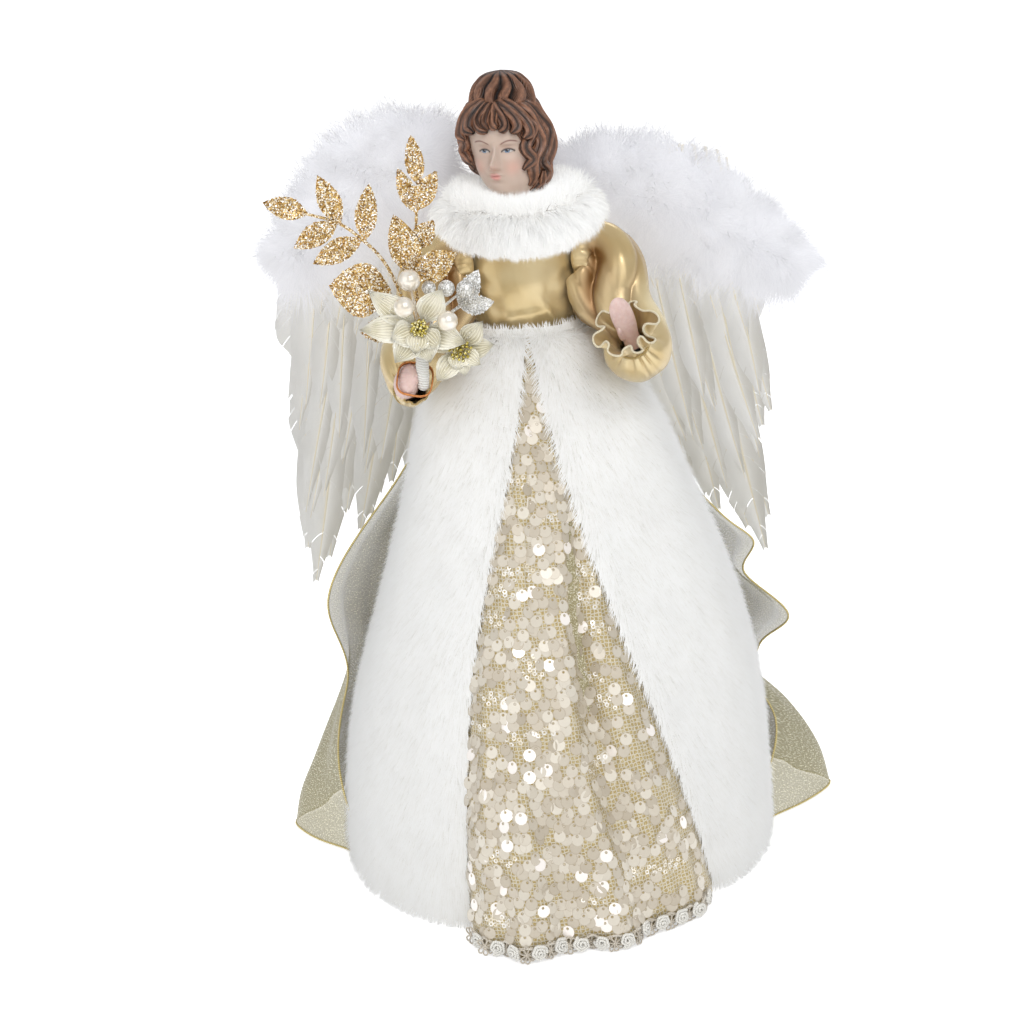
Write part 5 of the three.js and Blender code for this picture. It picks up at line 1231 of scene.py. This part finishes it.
# The bun is painted light on its lobes as painted highlight, and dark in the grooves between them and at its foot
# as painted shade.
tone = np.clip(0.3 + 0.42 * lobes + 0.14 * fine, 0, 1) * eased(share, -0.05, 0.16)
locks.append((*laid(bun, np.stack([loop * 2, share * 22], -1), True), tone.ravel()))
hair_paint = Finish("hair_paint", roughness=0.36)
strand = (hair_paint.cloth.part(0) * 75.4 + hair_paint.cloth.part(1) * 0.7).sine()
brown = hair_paint.painted().part(0).mix(linear(18, 9, 6), linear(182, 128, 98))
rubbed = hair_paint.place.noise(0.5, 3).between(0.35, 0.7)
# Fine stripes along the strands are painted shade in the grooves between them; the rubbed mottle is random tone.
groove_shade_and_mottle = strand.between(-0.9, 0.5) * 0.15 + rubbed * 0.35 + 0.5
hair_paint.feed(base_color=groove_shade_and_mottle.mix(linear(46, 28, 22), brown), roughness=0.38 - 0.08 * strand)
hair_paint.bump(strand, 0.12)
tones = np.concatenate([l[3] for l in locks])
piece("cast_hair", together([l[:3] for l in locks]), hair_paint, "figure", "bisque", paint=tones)


# Bouquet: bought picks taped into one bundle and wired to the right hand. Gold glitter sprays stand behind,
# with an organza poinsettia, a smaller flower, pearls, silver glitter balls and a toothed silver leaf in front.
wrist, aim, wide, thin = wrists["right"]
grip = wrist + aim * 21.25
posy = grip - thin * 5.4 + np.array([0.85, -3.4, 23.8])
bundle_foot, bundle_radius = np.array([-1.0, 4, -28]), 3.4


def seat(share, degrees, stand_off=0.9):
    """Where a pick's stem meets the bundle: a share of the way up it and degrees round it."""
    reach, angle = bundle_radius + stand_off, math.radians(degrees)
    return bundle_foot * (1 - share) + np.array([reach * math.cos(angle), reach * math.sin(angle), 0])


def stem(points, radius=0.9):
    """A paper-wrapped wire through points of the bouquet, thinner at its end."""
    line = curve(posy + np.array(points, float), np.linspace(0, 1, 8 * len(points)))
    return tube(line, radius * (1 - 0.25 * np.linspace(0, 1, len(line))), 7)


def leaf(base, tip, half_width, facing=(0, -1, 0.3), bow=1.5, fold=0.25, curl=0.0, teeth=0.0, seed=0, point=0.85):
    """A leaf: half width times sin(pi/2 swell)^point each side of a bowed midrib, folded up along it and waved."""
    rng = np.random.default_rng(seed)
    base, tip = posy + np.array(base, float), posy + np.array(tip, float)
    span = tip - base
    across = unit(np.cross(span, np.array(facing, float)))
    up = unit(np.cross(across, span))
    s, t = np.meshgrid(np.linspace(0, 1, 22), np.linspace(-1, 1, 11), indexing="ij")
    swell = np.where(s < 0.45, s / 0.45, (1 - s) / 0.55)
    half = half_width * np.maximum(0.1 * (1 - s), np.sin(np.pi / 2 * swell) ** point)
    half = half * (1 + teeth * (np.abs((s * 9) % 1 - 0.5) - 0.25) * np.abs(t))
    lift = bow * np.sin(np.pi * s) + fold * half * np.abs(t)
    lift = lift + 0.35 * np.sin(9 * s + rng.uniform(0, 6)) * t * t + curl * s * s
    points = base + span * s[..., None] + across * (half * t)[..., None] + up * lift[..., None]
    return points, np.stack([t * half_width, s * np.linalg.norm(span)], -1)


def flakes(leaves, each, size, colours, rng):
    """Glitter: small triangles at random over both faces of leaves, each tilted its own way; with their paint."""
    places, normals = [], []
    for points in leaves:
        place, out = scattered(points, each, rng)[:2]
        face = rng.choice((-1.0, 1.0), (each, 1))
        places.append(place + 0.3 * face * out)
        normals.append(unit(face * out + 0.5 * rng.normal(size=out.shape)))
    place, normal = np.vstack(places), np.vstack(normals)
    u = unit(np.cross(normal, rng.normal(size=normal.shape)))
    v = np.cross(normal, u)
    radius = rng.uniform(0.6, 1.0, (len(place), 1)) * size
    corners = [place + radius * (math.cos(a) * u + math.sin(a) * v) for a in (0, 2.1, 4.2)]
    colour = np.array([linear(*c)[:3] for c in colours])[rng.integers(0, len(colours), len(place))]
    shape = np.stack(corners, 1).reshape(-1, 3), np.arange(3 * len(place)).reshape(-1, 3)
    return shape, np.repeat(colour, 3, 0)


def glitter_finish(name, dark, light, painted_glint):
    """Glue thick with glitter: cells of tones from dark to light that each catch the light their own way, and a
    share of cells painted near white as painted glints.
    """
    made = Finish(name, roughness=0.3, metallic=0.7)
    cell = made.place.cells(1.9, "Color")
    pick, other = cell.part(0), cell.part(1)
    colour = pick.between(0.2, 0.75).mix(dark, light)
    made.feed(base_color=other.between(0.72, 0.8).mix(colour, painted_glint), roughness=0.22 + 0.4 * other)
    made.bump(pick, 0.35)
    return made


gold_glitter = glitter_finish("gold_glitter", linear(138, 100, 46), linear(216, 182, 118), linear(255, 250, 236))
silver_glitter = glitter_finish("silver_glitter", linear(182, 180, 174), linear(226, 224, 218),
                                linear(255, 255, 255))
flake_finish = Finish("glitter_flakes", roughness=0.2, metallic=0.75)
flake_finish.feed(base_color=flake_finish.painted(), roughness=0.14 + 0.3 * flake_finish.place.noise(1.5, 1))
# The palest, near-white flakes in both lists are painted glints.
golds = ((134, 98, 44), (170, 130, 66), (204, 168, 104), (232, 208, 156), (252, 244, 224), (255, 253, 248),
         (255, 255, 255), (190, 142, 76))
silvers = ((168, 168, 170), (206, 206, 206), (236, 236, 236), (255, 255, 255), (226, 220, 204))


def spray(name, stems, fronds, finish, slot, node, colours, each=420, size=0.62, seed=0):
    """A pick of stems and glittered leaves, with its loose flakes as a second piece."""
    rng = np.random.default_rng(seed)
    shapes, leaves = [stem(s) for s in stems], []
    for k, frond in enumerate(fronds):
        points, places = leaf(*frond[:3], **(frond[3] if len(frond) > 3 else {}), seed=seed + k)
        leaves.append(points)
        shapes.append(laid(points, places))
    piece(name, together(shapes), finish, "right_arm", slot, node)
    shape, paint = flakes(leaves, each, size, colours, rng)
    piece(f"{name}_flakes", shape, flake_finish, "right_arm", slot, paint=paint, smooth=False)


tape = Finish("floral_tape", roughness=0.85)
crepe = (tape.place.part(2) * 5.0 + tape.place.part(0) * 1.2).sine()
tape.feed(base_color=crepe.between(-0.8, 0.8).mix(linear(226, 224, 216), linear(246, 245, 240)))
tape.bump(crepe, 0.2)
t = np.linspace(0, 1, 30)
ends = np.clip(np.minimum((t + 0.02) / 0.03, (1.01 - t) / 0.03), 0.2, 1)
wound = 3.0 * np.clip(0.8 + 1.4 * t, 0, 1) * (1 + 0.04 * np.sin(34 * t)) * ends
bundle = tube(posy + bundle_foot * (1 - t[:, None]), wound, 14)
piece("taped_stems", bundle, tape, "right_arm", "tape", "stem_bundle")
spray("glitter_spray_out",
      [(seat(0.9, 125), (-5, 6.5, 6), (-8.5, 9, 18), (-14.6, 9.5, 32), (-22.7, 9.5, 41.7), (-33, 10, 50),
        (-47, 11, 55))],
      [((-46, 11, 54.7), (-65.5, 12, 61), 5), ((-32, 10, 49.5), (-40, 11, 71.5), 5.2),
       ((-33, 10, 50), (-53.5, 10, 40), 5.2), ((-23, 9.5, 42), (-45.5, 9, 32.5), 5.4),
       ((-22, 9.5, 41), (-17.5, 10, 66.5), 5)],
      gold_glitter, "glitter", "leaf_spray_out", golds, seed=101)
spray("glitter_spray_up",
      [(seat(0.95, 90), (0, 6, 7), (-1, 9, 22), (1, 10, 40), (3, 11, 58), (5, 12, 68))],
      [((4, 11.5, 64), (2.5, 13, 86), 4.2), ((2, 10.5, 52), (-4.5, 12, 72), 4),
       ((2.5, 10.5, 53), (12.5, 12, 69.5), 4.8), ((0.5, 10, 36), (9.5, 10, 48), 5),
       ((-1, 9, 24), (-8, 10, 52), 7), ((-1, 9, 22), (18.5, 9, 33), 7)],
      gold_glitter, "glitter", "leaf_spray_up", golds, seed=121)
broad, toothed = {"facing": (0, -1, 0.15), "bow": 1}, {"facing": (0, -1, 0), "bow": 1, "teeth": 0.5}
spray("glitter_broad_leaves", [(seat(0.86, 175), (-7.5, 5, 3), (-10, 6.2, 11), (-13, 5, 19))],
      [((-12, 5, 18), (-39, 4, 23), 12.2, broad), ((-7, 5, 2.4), (-27, 3, 0.5), 6.2, broad)],
      gold_glitter, "glitter", "broad_leaves", golds, each=800, size=0.7, seed=141)
spray("silver_leaves", [(seat(0.84, 60), (6, 8, 0), (12, 10, 4), (20, 10.5, 9))],
      [((18, 10.5, 8), (28, 11, 24), 5.0, toothed), ((18, 10.5, 8), (34, 10, 9), 4.6, toothed)],
      silver_glitter, "silver", "silver_leaf", silvers, each=160, size=0.4, seed=161)


def ball(centre, radius, ripple=0.0):
    """A bead with a drilled hole at its top: rings from pole to pole, dimpled at both, and rippled for glue."""
    up, turn = np.meshgrid(np.linspace(0.06, np.pi - 0.06, 15), np.linspace(0, 2 * np.pi, 21)[:-1], indexing="ij")
    dimple = 0.05 * np.exp(-np.minimum(up, np.pi - up) / 0.12)
    r = radius * (1 - dimple) + ripple * np.sin(5 * turn) * np.sin(7 * up)
    points = np.stack([r * np.sin(up) * np.cos(turn), r * np.sin(up) * np.sin(turn), r * np.cos(up)], -1)
    return laid(posy + np.array(centre, float) + points, np.stack([turn, up], -1), True)


organza_petal = Finish("organza_petal", roughness=0.42, metallic=0.15, sheen_weight=0.4)
ribs = (organza_petal.cloth.part(0) * 4.6).sine()
edge = organza_petal.cloth.part(0).size().between(3.0, 6.5)
tone = organza_petal.place.noise(0.12, 2).between(0.35, 0.65)
petal_colour = tone.mix(linear(200, 191, 160), linear(232, 226, 206))
petal_colour = (ribs.between(0.1, 1.0) * 0.65).mix(petal_colour, linear(246, 240, 218))
organza_petal.feed(base_color=(edge * 0.5).mix(petal_colour, linear(250, 248, 238)), roughness=0.5 - 0.15 * ribs)
organza_petal.bump(ribs, 0.12)
stamen_finish = glitter_finish("stamen_glitter", linear(150, 132, 46), linear(214, 196, 92), linear(250, 244, 200))


def flower(name, node, base, middle, petals, half_width, stamens, spread, seed):
    """Pointed organza petals round a tuft of glittered stamens that stand forward."""
    rng = np.random.default_rng(seed)
    shapes, leaves = [stem(base)], []
    middle = np.array(middle, float)
    for k, (degrees, length, forward) in enumerate(petals):
        out = np.array([math.cos(math.radians(degrees)), 0, math.sin(math.radians(degrees))])
        base, tip = middle + 2 * out + (0, 1 + forward, 0), middle + length * out + (0, -2 + forward, 0)
        points, places = leaf(base, tip, half_width * (0.82 if length < 14 else 1), (0, -1, 0), bow=1.2, fold=0.2,
                              curl=-1.2 if k % 2 else 0.8, teeth=0.12, seed=seed + k, point=1.1)
        leaves.append(points)
        shapes.append(laid(points, places))
    piece(name, together(shapes), organza_petal, "right_arm", "petal", node)
    tuft = []
    for k in range(stamens):
        angle, lean = 2.4 * k, 0.5 + spread * math.sqrt(k / stamens)
        ahead = -4.2 + 0.25 * lean + rng.uniform(-0.6, 0.6)
        end = middle + (lean * math.cos(angle), ahead, lean * math.sin(angle))
        line = posy + mix(middle, end, np.linspace(0, 1, 5)[:, None])
        tuft += [tube(line, 0.28, 5), ball(end, 0.72, 0.06)]
    piece(f"{name}_stamens", together(tuft), stamen_finish, "right_arm", "glitter")
    shape, paint = flakes(leaves, 45, 0.34, silvers, rng)
    piece(f"{name}_frost", shape, flake_finish, "right_arm", "silver", paint=paint, smooth=False)


flower("poinsettia_petals", "poinsettia", [seat(0.9, 270), (0, -5, 1), (0, -5.5, 4)], (0, -5.4, 4),
       [(178, 27, 0.6), (140, 28, 0), (56, 21, 0.2), (-24, 22, 0), (-78, 17, 0.6), (-128, 20, 0),
        (196, 14, -1.2), (-50, 13, -1.2), (-104, 12, -1.4)],
       half_width=6.6, stamens=26, spread=3.4, seed=181)
flower("small_flower_petals", "small_flower", [seat(0.72, 345, 0), (9, 0.6, -10), (17, -0.4, -8.5)],
       (17, -0.8, -8.5),
       [(48, 17, 0), (2, 15.5, 0.4), (-83, 13, 0.6), (-128, 18.5, 0), (-40, 12, -1), (-105, 10, -1)],
       half_width=5.4, stamens=24, spread=5.0, seed=201)
pearl = Finish("pearl", roughness=0.16, metallic=0.3, coat_weight=1.0, coat_roughness=0.05)
lustre = pearl.place.noise(0.25, 2).between(0.3, 0.7)
pearl.feed(base_color=lustre.mix(linear(220, 208, 188), linear(242, 236, 226)), roughness=0.12 + 0.1 * lustre)
pearl.bump(pearl.place.noise(0.8, 1), 0.04)
pearl_shape = together([
    stem([(-0.8, 0.8, 0.8), (-1.8, 1.4, 12), (-3, 0.5, 23)], 0.6),
    stem([(-1.7, 1.4, 10), (-1.4, -1, 15), (-2.2, -6, 15.6), (-5, -9.5, 15)], 0.6),
    stem([(-1, 0.9, 2), (4, 1.4, 4.4), (11, -1, 7.4), (12.6, -8, 7)], 0.6),
    ball((-3, -0.5, 24), 5), ball((-6, -11, 14.6), 4.7), ball((12.7, -10.6, 6.8), 4.7)])
piece("pearls", pearl_shape, pearl, "right_arm", "pearl", "pearl_pick")
glitter_balls = together([
    stem([seat(0.95, 40), (8, 5.4, 9), (13, 5, 17)], 0.7), stem([(6, 5.2, 6), (13, 5.4, 11), (21, 5, 17)], 0.7),
    stem([(4, 5, 3), (6, 5.2, 10), (5.6, 4.6, 18)], 0.7),
    ball((13, 4.5, 18), 3.8, 0.1), ball((21.5, 4.5, 17), 4.2, 0.1), ball((5.2, 4, 19), 3.2, 0.1)])
piece("glitter_balls", glitter_balls, silver_glitter, "right_arm", "silver", "glitter_pick")
copper = Finish("copper_wire", roughness=0.3, metallic=0.85)
tarnish = copper.place.noise(0.9, 3).between(0.3, 0.7)
copper.feed(base_color=tarnish.mix(linear(158, 96, 52), linear(206, 140, 84)), roughness=0.24 + 0.2 * tarnish)
copper.bump(copper.place.noise(5.0, 1), 0.03)
loop = np.linspace(0, 2 * np.pi * 2.5, 121)[:, None]
squared = lambda value: np.sign(value) * np.abs(value) ** 0.6
middle, half_deep, half_wide, half_long = grip + thin * (6.4 - 8), 8, 7.6, 1.4
line = middle + thin * half_deep * squared(np.cos(loop)) + wide * half_wide * squared(np.sin(loop))
line = line + aim * mix(-half_long, half_long, loop / loop[-1])
piece("copper_tie", tube(line, 0.42, 6), copper, "right_arm", "wire", "tie_wire")
